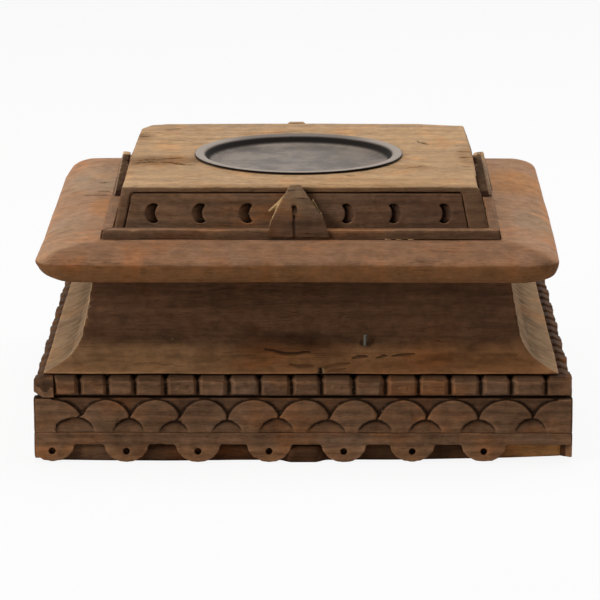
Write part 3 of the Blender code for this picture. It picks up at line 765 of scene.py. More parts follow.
def top_stains(tree, place, figure, colour):
    """Stains about the cracks and the worn edges of the block's top."""
    streaky = maths(tree, "MULTIPLY_ADD", step(tree, figure["Fibre"], 0.62, 0.38), 0.5, 0.5)
    for x, y, wide, deep, by in (
        (-68.0, -15.0, 30.0, 17.0, (0.36, 0.28, 0.2)),
        (0.0, 76.0, 90.0, 12.0, (0.88, 0.92, 1.0)),
        (34.0, -68.0, 60.0, 16.0, (0.93, 0.87, 0.79)),
        (-79.0, 46.0, 10.0, 12.0, (0.6, 0.54, 0.48)),
        (-62.0, 67.0, 16.0, 10.0, (0.84, 0.8, 0.76)),
        (77.0, -4.0, 7.0, 34.0, (0.72, 0.65, 0.58)),
        (50.0, -30.0, 16.0, 8.0, (0.82, 0.77, 0.7)),
        (0.0, -78.0, 90.0, 7.0, (0.86, 0.82, 0.76)),
    ):
        stain = spot(tree, place, (x, y, 117.0), (wide, deep, 30.0))
        colour = tint(tree, times(tree, stain, streaky), colour, by)
    return colour


def rail_tones(tree, place, facing, figure, colour):
    """The block's sides are rubbed paler just below the top."""
    bare = mix(tree, figure["Fibre"], (0.2, 0.115, 0.055), (0.4, 0.25, 0.13))
    return mix(tree, times(tree, by_height(tree, place, 112.5, 118.0), 0.3), colour, bare)


def cove_tones(tree, place, facing, figure, colour):
    """The foot of the cove's front and back is paler than the wood above it."""
    long_face = step(tree, lead(tree, facing["Y"], facing["X"]), -0.1, 0.1)
    foot = times(tree, by_height(tree, place, 54.0, 44.0), long_face)
    paler = mix(tree, figure["Streak"], (0.15, 0.072, 0.031), (0.36, 0.19, 0.088))
    for x, wide, by in (
        (-78.0, 60.0, (1.4, 1.42, 1.4)),
        (8.0, 56.0, (1.3, 1.18, 1.08)),
        (78.0, 56.0, (1.16, 1.0, 0.86)),
    ):
        paler = tint(tree, spot(tree, place, (x, -118.0, 42.0), (wide, 40.0, 26.0)), paler, by)
    colour = mix(tree, times(tree, foot, 0.85), colour, paler)
    smear = spot(tree, place, (-7.0, -105.0, 49.8), (32.0, 30.0, 6.5))
    return tint(tree, smear, colour, (0.55, 0.5, 0.47))


def core_tones(tree, place, facing, figure, colour):
    """The core is painted darker in the middle of its front and back, as shade in the recesses between the
    pendants, and paler towards the front's two ends.
    """
    # Painted shade in the recesses between the pendants.
    between = step(tree, maths(tree, "ABSOLUTE", axes(tree, place)["X"]), 0.092, 0.076)
    colour = tint(tree, between, colour, (0.47, 0.41, 0.37))
    bare = spot(tree, place, (110.0, -116.0, 4.0), (34.0, 30.0, 22.0))
    return mix(tree, bare, colour, mix(tree, figure["Fibre"], (0.15, 0.066, 0.02), (0.6, 0.28, 0.1)))


def pendant_tones(tree, place, facing, figure, colour):
    """The pendants are paler than the fillet above them."""
    return tint(tree, by_height(tree, place, 9.5, 5.0), colour, (1.42, 1.34, 1.22))


def panel_tones(tree, place, facing, figure, colour):
    """The front panel is darker towards its right end."""
    at = axes(tree, place)
    away = times(tree, step(tree, at["X"], -0.01, 0.06), step(tree, at["Y"], -0.07, -0.075))
    return tint(tree, away, colour, (0.76, 0.72, 0.74))


def slab_tones(tree, place, facing, figure, colour):
    """The slab's edge is redder and darker than its upper face."""
    at = axes(tree, place)
    fore = maths(tree, "SUBTRACT", times(tree, at["Y"], -1.0), maths(tree, "ABSOLUTE", at["X"]))
    colour = tint(tree, step(tree, fore, -0.004, 0.002), colour, (0.78, 0.72, 0.68))
    for middle, wide, deep, by in (
        ((-93.0, -18.0, 95.0), 10.0, 30.0, (1.12, 0.95, 0.74)),
        ((102.0, 45.0, 95.0), 22.0, 40.0, (1.1, 0.97, 0.76)),
        ((-100.0, 48.0, 95.0), 20.0, 44.0, (0.98, 1.13, 1.22)),
        ((-108.0, -55.0, 92.0), 12.0, 30.0, (0.94, 1.02, 1.06)),
        ((106.0, -40.0, 92.0), 14.0, 36.0, (0.96, 1.06, 1.12)),
    ):
        colour = tint(tree, spot(tree, place, middle, (wide, deep, 20.0)), colour, by)
    redder = span(tree, figure["Fibre"], colours().slab_edge, 0.55, 1.2)
    return mix(tree, step(tree, facing["Z"], 0.5, 0.1), colour, redder)


def iron_finish():
    """Dull iron: darker on the steep wall, mottled on the floor, rubbed on the rim."""
    made, tree, shader = new_material("dish_metal")
    place = object_place(tree)
    broad = speckle(tree, place, 60.0, 5.0, 0.65, 0.2)
    fine = speckle(tree, place, 700.0, 4.0, 0.65)
    tone = colours().iron
    colour = span(tree, step(tree, broad, 0.38, 0.64), tone, 0.62, 1.32)
    shaded = spot(tree, place, (34.0, 4.0, 114.0), (34.0, 44.0, 30.0))
    colour = tint(tree, shaded, colour, (0.8, 0.77, 0.74))
    colour = mix(tree, times(tree, step(tree, fine, 0.52, 0.7), 0.4), colour, shade(tone, 0.6))
    rust = step(tree, speckle(tree, place, 90.0, 5.0, 0.65), 0.56, 0.72)
    colour = mix(tree, times(tree, rust, 0.35), colour, (0.16, 0.1, 0.065))
    behind = spot(tree, place, (-3.0, 47.0, 118.0), (62.0, 28.0, 20.0))
    colour = mix(tree, by_height(tree, place, 117.2, 118.3), colour, span(tree, behind, tone, 1.75, 0.85))
    # The steep wall is darkened almost to black and made rougher.
    steep = step(tree, face_normal(tree)["Z"], 0.93, 0.62)
    colour = mix(tree, times(tree, steep, 0.97), colour, (0.009, 0.007, 0.006))
    feed(tree, shader.inputs["Base Color"], colour)
    rough = maths(tree, "MULTIPLY_ADD", broad, 0.25, 0.42)
    feed(tree, shader.inputs["Roughness"], maths(tree, "MULTIPLY_ADD", steep, 0.4, rough, clamp=True))
    shader.inputs["Metallic"].default_value = 0.3
    shader.inputs["Specular IOR Level"].default_value = 0.22
    add_bump(tree, shader, fine, 0.25, 0.2)
    return made


def plain_finish(name, dark, light, roughness, metallic=0.0, scale=900.0):
    """A small piece's finish: two tones in fine mottling, with its bump."""
    made, tree, shader = new_material(name)
    mottle = speckle(tree, object_place(tree), scale, 4.0, 0.6)
    feed(tree, shader.inputs["Base Color"], mix(tree, step(tree, mottle, 0.35, 0.65), dark, light))
    feed(tree, shader.inputs["Roughness"], maths(tree, "MULTIPLY_ADD", mottle, 0.2, roughness - 0.1))
    shader.inputs["Metallic"].default_value = metallic
    add_bump(tree, shader, mottle, 0.4, 0.15)
    return made


# What each carved band has: its tone, its upper faces (darkened on the scales' ledge as dirt with painted
# shade), its dust, its sunk shade and its bare edges
BANDS = {
    "pendant": (1.06, 1.25, 0.3, 1.0, 0.5),
    "scale": (1.0, 0.3, 0.3, 0.55, 0.5),
    "stud": (0.94, 0.75, 0.6, 0.6, 0.75),
}


def band_finish(side, row):
    """The finish of a carved band, with the grain along that side."""
    number = SIDES.index(side)
    share, upper, dust, sink, bare = BANDS[row]
    tone = shade(colours().band, share)
    return old_wood(
        f"{row}_wood_{side}", tone, end=shade(tone, 1.1), top=shade(tone, upper), turn=bool(number % 2),
        shift=(37.0 * number, 13.0 * len(row), 5.0 * number), warm=0.5, dust=dust, sink=sink, bare=bare,
        streaks=0.55, patch=(1.6, 0.9, 0.9), mottle=0.7, splits=0.5,
        extra=pendant_tones if row == "pendant" else None,
    )


# Sculpting of the carved pieces, in the front's frame and in millimetres unless MM is written

BLOCK_FOOT = 95.5
BLOCK_LEAN = 4.5 / 21.4
BLOCK_FRONT = -84.2
UPPER_MIDDLE = np.array((-1.2, 0.8))
PENDANT_START, PENDANT_PITCH, PENDANT_HALF = -112.0, 32.0, 10.2
SCALE_START, SCALE_PITCH = -102.15, 22.7
STUD_START, STUD_PITCH = -111.0, 231.0 / 17
FRONT_PENDANTS = (-112.0, -78.8, -46.9, -15.1, 18.2, 48.8, 80.6)
FRONT_STUDS = (
    -111.3, -99.9, -87.4, -75.2, -61.4, -47.1, -33.3, -19.5, -5.4,
    7.9, 22.5, 36.6, 51.3, 65.2, 79.0, 92.4, 108.2, 119.8,
)
FRONT_NOTCHES = (-98.5, -76.9, -54.4, -33.5, -10.3, 12.2, 33.9, 55.5, 78.2, 102.7)
FRONT_MOONS = (
    (-2.6, 1.17, 1.03), (-1.0, 0.95, 0.97), (-2.9, 0.91, 0.77), (-0.7, 0.93, 0.8), (-1.3, 1.02, 1.0),
    (-1.6, 1.16, 0.85), (-1.7, 1.07, 0.85), (-1.1, 1.01, 0.88), (-0.4, 1.01, 0.88), (-0.7, 0.92, 1.0),
)


def side_places(piece, side):
    """A strip's points as if it were the front one."""
    return turned(read_places(piece), -SIDES.index(side))


def put_side_places(piece, side, places):
    write_places(piece, turned(places, SIDES.index(side)))


def side_copies(row):
    """The number, side and node of each of a row's four strips, with a copy of the node."""
    for number, side in enumerate(SIDES):
        node = f"{row}_{side}"
        yield number, side, node, copy_node(f"worn_{node}", node)


def off_middle(places):
    """How far points lie from the upright axis of the upper tiers, measured square."""
    return np.abs(places[:, :2] / MM - UPPER_MIDDLE).max(axis=1)


def uneven_foot(places):
    """Lifts the lowest points to a worn underside that rises at the front right corner."""
    x, y, z = places.T / MM
    rise = 0.5 + 0.5 * np.sin(x / 19.0 + 0.6) * np.sin(x / 11.3 + y / 17.0)
    near = ramp(x, 30, 120) * ramp(y, -70, -110)
    foot = 0.2 * rise + 2.4 * near**2
    places[:, 2] = np.where(z < foot, foot + 0.15 * (z - foot), z) * MM
    return places


def slide_marks(places, before, after):
    """Slides points along X so that each mark lands where the carver set it by eye."""
    places[:, 0] = np.interp(places[:, 0] / MM, (-120, *before, 125), (-120, *after, 125)) * MM
    return places


def both_edges(middles, half):
    return [middle + edge for middle in middles for edge in (-half, half)]


def set_pendants(places, side):
    """Sets the front's pendants at their listed places and closes the open line above the fillet."""
    if side == "front":
        even = both_edges([PENDANT_PITCH * i + PENDANT_START for i in range(7)], PENDANT_HALF)
        places = slide_marks(places, even[1:], both_edges(FRONT_PENDANTS, PENDANT_HALF)[1:])
    places[places[:, 2] > 13.0 * MM, 2] += 0.35 * MM
    middle = np.interp(places[:, 0] / MM, (-105, -85, 30, 50), (0, 1, 1, 0))
    places[:, 2] -= 0.3 * MM * middle * ramp(places[:, 2] / MM, 4, 1)
    return places


def regrow_foot(places):
    """Gives back the thin foot of the cove, which the cells round away, and sets it a little to the left."""
    reach = np.abs(places[:, :2]).max(axis=1) / MM
    share = ramp(reach, 103.0, 112.3)
    share = share * share * (3 - 2 * share)
    places[:, :2] *= (1 + 2.7 * share / np.maximum(reach, 1))[:, None]
    places[:, 0] -= 0.9 * MM
    return places


def slide_crescents(places):
    """Sets the front's crescents at their listed places and ends the panel short of the right corner."""
    before = both_edges((-67.8, -46.6, -25.4, 23.0, 44.2, 65.4), 4.2)
    after = both_edges((-68.0, -46.8, -25.6), 3.8) + both_edges((19.7, 40.9, 63.7), 3.5)
    places[:, 0] = np.interp(places[:, 0] / MM, (-90, *before, 76, 80), (-90, *after, 71.8, 75.8)) * MM
    return places


def set_slab(places):
    """Draws the slab out to the front left and the right, and lifts its back."""
    x, y, z = places.T / MM
    places[:, 0] -= 0.9 * MM * ramp(x, -90, -115) * ramp(y, -60, -110)
    places[:, 0] += np.interp(y, (-116, 0, 100), (1.0, 2.0, 2.0)) * MM * ramp(x, 60, 110)
    places[:, 2] += 0.9 * MM * ramp(y, 30, 90) * (z > 88)
    return places


def trim_slab(places):
    """Wears the slab's front lower corners upward and its back left corner rounder."""
    x, y, z = places.T / MM
    worn = np.interp(x, (-118.5, -114, -107, -104, 98, 107, 113, 116), (4.0, 2.3, 0.4, 0, 0, 1.1, 1.7, 2.4))
    places[:, 2] += worn * MM * ramp(z, 89, 83) * ramp(y, -70, -100)
    corner = ramp(x, -100, -117) * ramp(y, 78, 108)
    places[:, 0] += 1.9 * MM * corner
    places[:, 1] -= 1.3 * MM * corner
    return places


def widen_stile(places):
    """Brings the right end of the front's sunk field in, to leave a wider stile."""
    x, y, z = places.T / MM
    places[(x > 71.5) & (x < 81.5) & (y < -74) & (z > 96.5) & (z < 115.6), 0] -= 4.2 * MM
    return places


def set_block(places):
    """Lifts the block's front edge and wears its two back corners."""
    x, y, z = places.T / MM
    places[:, 2] += 0.9 * MM * ramp(y, -58, -78) * ramp(z, 106, 116)
    back = ramp(y, 5, 80) * ramp(z, 104, 116)
    places[:, 0] += 2.0 * MM * back * ramp(x, -55, -75)
    worn = np.clip((places[:, 1] - places[:, 0]) / MM - 148, 0, None) * ramp(z, 108, 116)
    right = back * ramp(x, 55, 75)
    places[:, 0] += (0.3 * worn - 1.3 * right) * MM
    places[:, 1] -= 0.3 * MM * worn
    places[:, 2] -= 0.8 * MM * right
    return places


def thicken_boss(places, side):
    """Brings the outer face of a boss on the left or the right out to where the carver left it."""
    sign, foot, gain = (1, 83.8, 2.0) if side == "right" else (-1, 86.2, 1.5)
    stand = sign * places[:, 0] / MM - foot + BLOCK_LEAN * (places[:, 2] / MM - BLOCK_FOOT)
    more = (gain - 1) * (np.clip(stand, 0.3, 2.7) - 0.3) - 0.5 * np.clip(stand - 2.7, 0, None)
    places[:, 0] += sign * more * MM
    return places


def lean_boss(places):
    """The front boss leans to the left, with its slot off its middle."""
    share = ramp(places[:, 2] / MM, 99.5, 117.5)
    places[:, 2] += 0.9 * MM * ramp(places[:, 2] / MM, 106, 116)
    slot = np.abs(places[:, 0] + 1.2 * MM) < 1.15 * MM
    slot &= (places[:, 2] > 102.0 * MM) & (places[:, 2] < 110.5 * MM)
    places[:, 0] -= (0.9 + 1.8 * share + 1.1 * slot) * MM
    return places


def drape_boss(places):
    """The foot of the front boss runs down over the collar."""
    _, y, z = places.T / MM
    face = BLOCK_FRONT + BLOCK_LEAN * (z - BLOCK_FOOT)
    out = ramp(z, 110.0, 100.5) ** 1.2 * ramp(face - y, 1.0, 1.8)
    places[:, 1] -= out * np.clip(y + 90.6, 0, None) * MM
    places[:, 2] -= 3.8 * MM * ramp(z, 104, 100)
    return places


def lower_boss(places):
    """The foot of a boss reaches down to the collar."""
    places[:, 2] -= 0.7 * MM * ramp(places[:, 2] / MM, 102, 99)
    return places


def low_back_boss(places):
    """The back boss leans to the left as seen from the front and is worn low and broad at its tip."""
    share = ramp(places[:, 2] / MM, 99.5, 117.5)
    places[:, 0] -= share * (3.3 * MM - 0.45 * (places[:, 0] + 1.2 * MM))
    over = places[:, 2] - 116.7 * MM
    places[:, 2] = np.where(over > 0, 116.7 * MM + 0.5 * over, places[:, 2])
    return places


def vary_moons(places, side, seed):
    """Widens, narrows, lifts and lowers each half-moon about the middle of its foot."""
    draw = random.Random(seed)
    foot = 13.6 * MM
    for i in range(10):
        if side == "front":
            middle = FRONT_NOTCHES[i] * MM
            shift, wide, high = FRONT_MOONS[i]
        else:
            middle = (SCALE_START + SCALE_PITCH * i) * MM
            shift, wide, high = draw.uniform(-1.2, 1.2), draw.uniform(0.84, 1.08), draw.uniform(0.8, 1.05)
        up = places[:, 2] - foot
        near = ramp(np.abs(places[:, 0] - middle), 12 * MM, 8 * MM) * ramp(up, 9 * MM, 5.5 * MM)
        near = near * near * (3 - 2 * near)
        places[:, 0] += near * ((wide - 1) * (places[:, 0] - middle) + shift * MM)
        places[:, 2] += near * np.clip(up, 0, None) * (high - 1)
    return places


def vary_studs(piece, side, seed):
    """Shifts the tips of the studs, which were cut by eye."""
    draw = random.Random(seed)
    places = side_places(piece, side)
    tip = places[:, 1] < -119.0 * MM
    slot = np.floor((places[:, 0] / MM - STUD_START) / STUD_PITCH).astype(int)
    for i in range(-1, 19):
        mine = tip & (slot == i)
        if mine.any():
            places[mine, 0] += draw.uniform(-1.2, 1.2) * MM
            places[mine, 1] += draw.uniform(0, 0.7) * MM
            places[mine, 2] += draw.uniform(-0.7, 0.7) * MM
    if side == "front":
        places = slide_marks(places, [STUD_PITCH * i + STUD_START for i in range(18)], FRONT_STUDS)
    put_side_places(piece, side, places)


def blunt_studs(piece, side, seed):
    """Cuts the tips of the studs back to flat fronts with steep sides."""
    places = side_places(piece, side)
    x, y, _ = places.T / MM
    front = 3.5 + 0.4 * np.sin(x / 5.3 + seed)
    out = np.clip(-116.1 - y, 0, None)
    cut_back = np.minimum(2.6 * out, np.maximum(front, 0.97 * out))
    places[:, 1] = np.where(out > 0, -116.1 - cut_back, y) * MM
    put_side_places(piece, side, places)


def cut_notches(piece, side):
    """Runs the notches between the studs up through the top edge."""
    places = side_places(piece, side)
    x, _, z = places.T / MM
    if side == "front":
        gaps = np.array(FRONT_STUDS[1:-1])
        width, deep, dark = 2.0, 2.0, 0.12
    else:
        gaps = STUD_PITCH * np.arange(18) + STUD_START
        width, deep, dark = 3.0, 4.4, 0.75
    off = np.abs(x[:, None] - gaps).min(axis=1)
    open_way = ramp(off, width, 0) * ramp(z, 34.5, 37.0)
    places[:, 2] -= deep * MM * open_way
    put_side_places(piece, side, places)
    # Painted shade in the open notches.
    add_cut_shade(piece, dark * np.clip(1.6 * open_way, 0, 1))


def mark_sunk(piece, side, low, high, lean=0.0):
    """Stores how far each point lies behind the front of a carved face, for the finishes to paint as shade in
    the recesses.
    """
    x, y, z = side_places(piece, side).T / MM
    depth = y - lean * z
    depth -= np.percentile(depth, 8)
    set_attribute(piece, "sunk", ramp(depth, low, high) * (np.abs(x) < 117.0))


def bring_core_out(places):
    """Brings the foot of the core's front forward between the pendants, most in the middle."""
    x, y, z = places.T / MM
    out = np.interp(
        x,
        (-120, -95, -62, -31, -10, -6, 6, 10, 33, 70, 120),
        (1.8, 2.2, 3.0, 1.6, 1.6, 5.2, 5.2, 1.6, 1.0, 0.4, 0.2),
    )
    places[:, 0] += 1.6 * MM * ramp(x, 111, 114) * ramp(z, 10, 8)
    places[:, 1] -= out * MM * ramp(y, -110, -113) * ramp(z, 9, 6)
    places[:, 2] -= 0.8 * MM * ramp(z, 4, 0)
    return places


def back_of_strip(side, depth):
    """A test for the faces of a strip that lie against the core."""
    def hidden(middles, normals):
        middles = turned(middles, -SIDES.index(side))
        normals = turned(normals, -SIDES.index(side))
        return (middles[:, 1] > (-120 + depth - 0.6) * MM) & (normals[:, 1] > 0.8)

    return hidden


class STAND_OT_plinth_core(bpy.types.Operator):
    """Ages the square block behind the carved strips"""

    bl_idname = "stand.plinth_core"
    bl_label = "Plinth core"

    def execute(self, context):
        piece = copy_node("worn_core", "plinth_core")
        wear_down(piece, 1.3 * sizes().block_cell, 2)
        ripple(piece, 60, 6, 0.8)
        reshape(piece, bring_core_out, uneven_foot)
        thin_hidden(piece, lambda m, n: (np.abs(m[:, :2]).max(axis=1) < 100 * MM) | (m[:, 2] > 16 * MM))
        mark_wear(piece)
        tone = shade(colours().band, 0.9)
        finish = old_wood("core_wood", tone, end=tone, extra=core_tones)
        finish_piece(piece, finish, "plinth_wood", "stand", "plinth_core")
        return {"FINISHED"}


class STAND_OT_pendant_strips(bpy.types.Operator):
    """Ages the fillets with their drilled pendants"""

    bl_idname = "stand.pendant_strips"
    bl_label = "Pendant strips"

    def execute(self, context):
        for number, side, node, piece in side_copies("pendant_strip"):
            put_side_places(piece, side, set_pendants(side_places(piece, side), side))
            wear_down(piece, sizes().strip_cell, 3)
            wander(piece, 18, 0.14, number + 1)
            grain_ripple(piece, 20, 1.8, 0.7, number, number)
            nick_edges(piece, 14, 2.2, 0.6, number + 1)
            reshape(piece, uneven_foot)
            thin_hidden(piece, back_of_strip(side, 5))
            mark_wear(piece)
            mark_sunk(piece, side, 0.7, 2.2)
            finish_piece(piece, band_finish(side, "pendant"), "plinth_wood", "stand", node)
        return {"FINISHED"}


class STAND_OT_scale_strips(bpy.types.Operator):
    """Ages the bands of scales and half-moons"""

    bl_idname = "stand.scale_strips"
    bl_label = "Scale strips"

    def execute(self, context):
        even = [SCALE_START + SCALE_PITCH * i for i in range(10)]
        for number, side, node, piece in side_copies("scale_strip"):
            if side == "front":
                reshape(piece, lambda places: slide_marks(places, even, FRONT_NOTCHES))
            wear_down(piece, 0.9 * sizes().strip_cell, 2)
            put_side_places(piece, side, vary_moons(side_places(piece, side), side, number + 11))
            wander(piece, 18, 0.14, number + 6)
            grain_ripple(piece, 24, 2.0, 0.7, number, number)
            nick_edges(piece, 12, 2.0, 0.45, number + 8)
            thin_hidden(piece, back_of_strip(side, 5))
            mark_wear(piece)
            mark_sunk(piece, side, 0.35, 1.7)
            finish_piece(piece, band_finish(side, "scale"), "plinth_wood", "stand", node)
        return {"FINISHED"}


class STAND_OT_stud_strips(bpy.types.Operator):
    """Ages the bars of faceted studs"""

    bl_idname = "stand.stud_strips"
    bl_label = "Stud strips"

    def execute(self, context):
        for number, side, node, piece in side_copies("stud_strip"):
            vary_studs(piece, side, number + 21)
            wear_down(piece, 0.8 * sizes().strip_cell, 1)
            blunt_studs(piece, side, number + 2)
            wander(piece, 14, 0.15, number + 12)
            grain_ripple(piece, 12, 1.8, 0.5, number, number)
            nick_edges(piece, 26, 1.8, 0.6, number + 14)
            thin_hidden(piece, back_of_strip(side, 9))
            if side != "back":
                cut_notches(piece, side)
            mark_wear(piece)
            mark_sunk(piece, side, 2.0, 4.0)
            finish_piece(piece, band_finish(side, "stud"), "plinth_wood", "stand", node)
        return {"FINISHED"}


# Short cracks in the foot of the cove's front
COVE_CRACKS = (
    [(22, 44.4), (29, 45.0)],
    [(33, 44.6), (37.5, 45.2)],
    [(40, 45.2), (50, 46.0)],
    [(8.5, 41.4), (15, 42.4), (21, 42.8)],
    [(11, 40.4), (19, 41.2)],
    [(-6, 42.4), (5, 42.0)],
)


class STAND_OT_cove_block(bpy.types.Operator):
    """Ages the hollow-sided block, with its cracks and its old nail hole"""

    bl_idname = "stand.cove_block"
    bl_label = "Cove block"

    def execute(self, context):
        piece = copy_node("worn_cove", "cove_block")
        wear_down(piece, sizes().block_cell, 3)
        reshape(piece, regrow_foot)
        wander(piece, 40, 0.3, 31)
        ripple(piece, 13, 7, 0.3)
        grain_ripple(piece, 16, 1.8, 0.8, rise=0.4)
        nick_edges(piece, 30, 2.2, 0.6, 33)
        thin_hidden(piece, lambda m, n: np.abs(m[:, :2]).max(axis=1) < 91.5 * MM)
        split(piece, "front", [(-17.2, 47.6), (-8.2, 46.0), (3.0, 46.6)], 0.85, 0.9, 34, sway=0.25, dark=0.45)
        split(piece, "front", [(-76, 42.6), (-62, 42.2), (-50, 41.8)], 0.3, 0.25, 35, dark=0.3)
        for number, path in enumerate(COVE_CRACKS):
            split(piece, "front", path, 0.8, 0.6, 36 + 10 * number, 3, 0.25, dark=0.45)
        dent(piece, "front", (7.9, 40.2), 1.5, 3.2, 0.9)
        split(piece, "left", [(-101, 65.5), (-84, 66.5)], 1.2, 0.9, 38, dark=0.6)
        split(piece, "left", [(-100, 61.0), (-88, 62.5)], 1.0, 0.7, 39, dark=0.45)
        mark_wear(piece)
        finish = old_wood(
            "cove_wood", colours().cove, end=colours().cove_end, warm=0.35, grey=0.18, stain=0.6, grime_and_shade=0.7,
            contrast=1.05, streaks=0.7, patch=(1.5, 0.8, 0.8), mottle=0.6, pores=0.5, rings=0.1, splits=0.45,
            extra=cove_tones,
        )
        finish_piece(piece, finish, "cove_wood", "stand", "cove_block")
        return {"FINISHED"}


class STAND_OT_cove_nail(bpy.types.Operator):
    """Rounds the bent nail in the cove"""

    bl_idname = "stand.cove_nail"
    bl_label = "Cove nail"

    def execute(self, context):
        piece = copy_node("old_nail", "cove_nail")
        wear_down(piece, 0.22 * MM, 2)
        wander(piece, 2, 0.15, 41)
        finish = plain_finish("nail_metal", (0.03, 0.026, 0.02), (0.15, 0.14, 0.105), 0.6, 0.4)
        finish_piece(piece, finish, "nail_metal", "stand", "cove_nail")
        return {"FINISHED"}


class STAND_OT_cap_slab(bpy.types.Operator):
    """Ages the overhanging slab"""

    bl_idname = "stand.cap_slab"
    bl_label = "Cap slab"

    def execute(self, context):
        piece = copy_node("worn_slab", "cap_slab")
        wear_down(piece, 1.05 * sizes().block_cell, 2)
        wander(piece, 60, 0.35, 51)
        reshape(piece, set_slab, trim_slab)
        ripple(piece, 50, 8, 0.12)
        grain_ripple(piece, 18, 1.8, 0.6, rise=0.7)
        nick_edges(piece, 20, 2.5, 0.5, 53)
        thin_hidden(
            piece, lambda m, n: (off_middle(m) < 84) & ((n[:, 2] > 0.9) | (m[:, 2] < 94.5 * MM))
        )
        split(piece, "top", [(-104, 13), (-96, 11), (-90, 8)], 1.7, 1.3, 54, dark=0.7)
        split(piece, "top", [(-99, 21), (-93, 20)], 1.6, 0.9, 57, dark=0.5)
        split(piece, "top", [(-99, 41), (-95, 41)], 1.4, 0.6, 58, dark=0.35)
        mark_wear(piece)
        tone = colours().slab
        finish = old_wood(
            "slab_wood", tone, end=shade(tone, 1.25), warm=0.4, grey=0.45, stain=0.25, grime_and_shade=0.6,
            contrast=0.95, streaks=0.18, patch=(2.6, 0.7, 0.7), mottle=0.55, rings=0.06, splits=0.6,
            extra=slab_tones,
        )
        finish_piece(piece, finish, "slab_wood", "stand", "cap_slab")
        return {"FINISHED"}


class STAND_OT_collars(bpy.types.Operator):
    """Ages the low mouldings round the block's foot"""

    bl_idname = "stand.collars"
    bl_label = "Collars"

    def execute(self, context):
        tone = shade(colours().panel, 0.85)
        for number, side, node, piece in side_copies("collar"):
            wear_down(piece, sizes().strip_cell, 2)
            wander(piece, 30, 0.25, number + 61)
            grain_ripple(piece, 20, 1.8, 0.7, number, number)
            nick_edges(piece, 8, 1.6, 0.35, number + 62)
            mark_wear(piece)
            # The collar's upper faces are painted lighter as a highlight.
            finish = old_wood(
                f"collar_wood_{side}", tone, end=tone, top=shade(tone, 1.7), turn=bool(number % 2),
                shift=(23.0 * number, 3.0, 8.0), warm=0.4, streaks=0.7, splits=0.7, mottle=0.65,
            )
            finish_piece(piece, finish, "slab_wood", "stand", node)
        return {"FINISHED"}


# Cracks and worn marks in the block's top: path, width and darkness
TOP_MARKS = (
    ([(-81.4, -14.8), (-69.5, -11.8), (-57.5, -7.7)], 1.8, 1.0),
    ([(-80, -23), (-72, -17.7), (-61.7, -19.1), (-55.4, -24.9), (-47.5, -24.8)], 1.6, 0.9),
    ([(-81, 44.9), (-75.6, 47.5)], 2.0, 0.7),
    ([(-69.3, 37.1), (-62, 36), (-54.5, 33.3)], 1.1, 0.4),
    ([(-68.1, 66.2), (-61.3, 67.6)], 2.0, 0.35),
    ([(-57.5, -56.5), (-46.4, -60)], 0.9, 0.35),
    ([(54.2, 35.3), (59.2, 27)], 1.5, 0.7),
    ([(72.5, 8.8), (79.5, 8.9)], 1.3, 0.7),
    ([(72.5, -6.2), (79, -6.1)], 1.5, 0.75),
    ([(73.2, -28.4), (78.5, -28.4)], 1.2, 0.5),
    ([(47.1, -32.2), (54.2, -27.3)], 1.2, 0.4),
    ([(19.3, -52), (23, -51)], 1.2, 0.45),
    ([(51, 11), (60, 9.7)], 1.2, 0.25),
)


class STAND_OT_top_block(bpy.types.Operator):
    """Ages the battered block that holds the dish"""

    bl_idname = "stand.top_block"
    bl_label = "Top block"

    def execute(self, context):
        piece = copy_node("worn_block", "top_block")
        reshape(piece, widen_stile)
        wear_down(piece, 0.85 * sizes().block_cell, 1)
        wander(piece, 50, 0.22, 71)
        reshape(piece, set_block)
        ripple(piece, 30, 9, 0.1)
        grain_ripple(piece, 14, 1.6, 0.5, rise=0.2)
        nick_edges(piece, 16, 2.0, 0.6, 73)
        thin_hidden(piece, lambda m, n: (off_middle(m) < 78) & (m[:, 2] < 108 * MM))
        for number, (path, width, dark) in enumerate(TOP_MARKS):
            split(piece, "top", path, width, 0.9 * dark, 74 + number, dark=dark)
        mark_wear(piece)
        tone = colours().panel
        finish = old_wood(
            "top_wood", tone, end=shade(tone, 1.2), top=colours().honey, warm=0.3, grey=0.3, stain=0.25,
            bare=0.1, grime_and_shade=0.7, contrast=0.85, streaks=0.35, patch=(3.0, 0.9, 0.9), pores=0.9, splits=0.7,
            extra=rail_tones, marks=top_stains,
        )
        finish_piece(piece, finish, "top_wood", "stand", "top_block")
        return {"FINISHED"}


class STAND_OT_crescent_panels(bpy.types.Operator):
    """Ages the sunk panels with their gouged crescents"""

    bl_idname = "stand.crescent_panels"
    bl_label = "Crescent panels"

    def execute(self, context):
        tone = colours().panel
        for number, side, node, piece in side_copies("crescent_panel"):
            if side == "front":
                reshape(piece, slide_crescents)
            wear_down(piece, 0.8 * sizes().strip_cell, 1)
            wander(piece, 18, 0.14, number + 81)
            places = read_places(piece)
            lift = 1.8 if side == "front" else 0.4
            places[:, 2] += lift * MM * ramp(places[:, 2] / MM, 110, 112.2)
            write_places(piece, places)
            grain_ripple(piece, 24, 1.8, 0.6, number, number)
            nick_edges(piece, 10, 1.6, 0.4, number + 82)
            thin_hidden(piece, lambda m, n: turned(n, -number)[:, 1] > 0.7)
            mark_wear(piece)
            mark_sunk(piece, side, 0.3, 1.5, BLOCK_LEAN)
            # The panel's upper chamfer is painted lighter as a highlight.
            finish = old_wood(
                f"panel_wood_{side}", tone, end=tone, top=shade(tone, 1.7), turn=bool(number % 2),
                shift=(41.0 * number, 17.0, 2.0), sink=1.0, streaks=0.6, mottle=0.6, splits=0.5,
                extra=panel_tones,
            )
            finish_piece(piece, finish, "panel_wood", "stand", node)
        return {"FINISHED"}


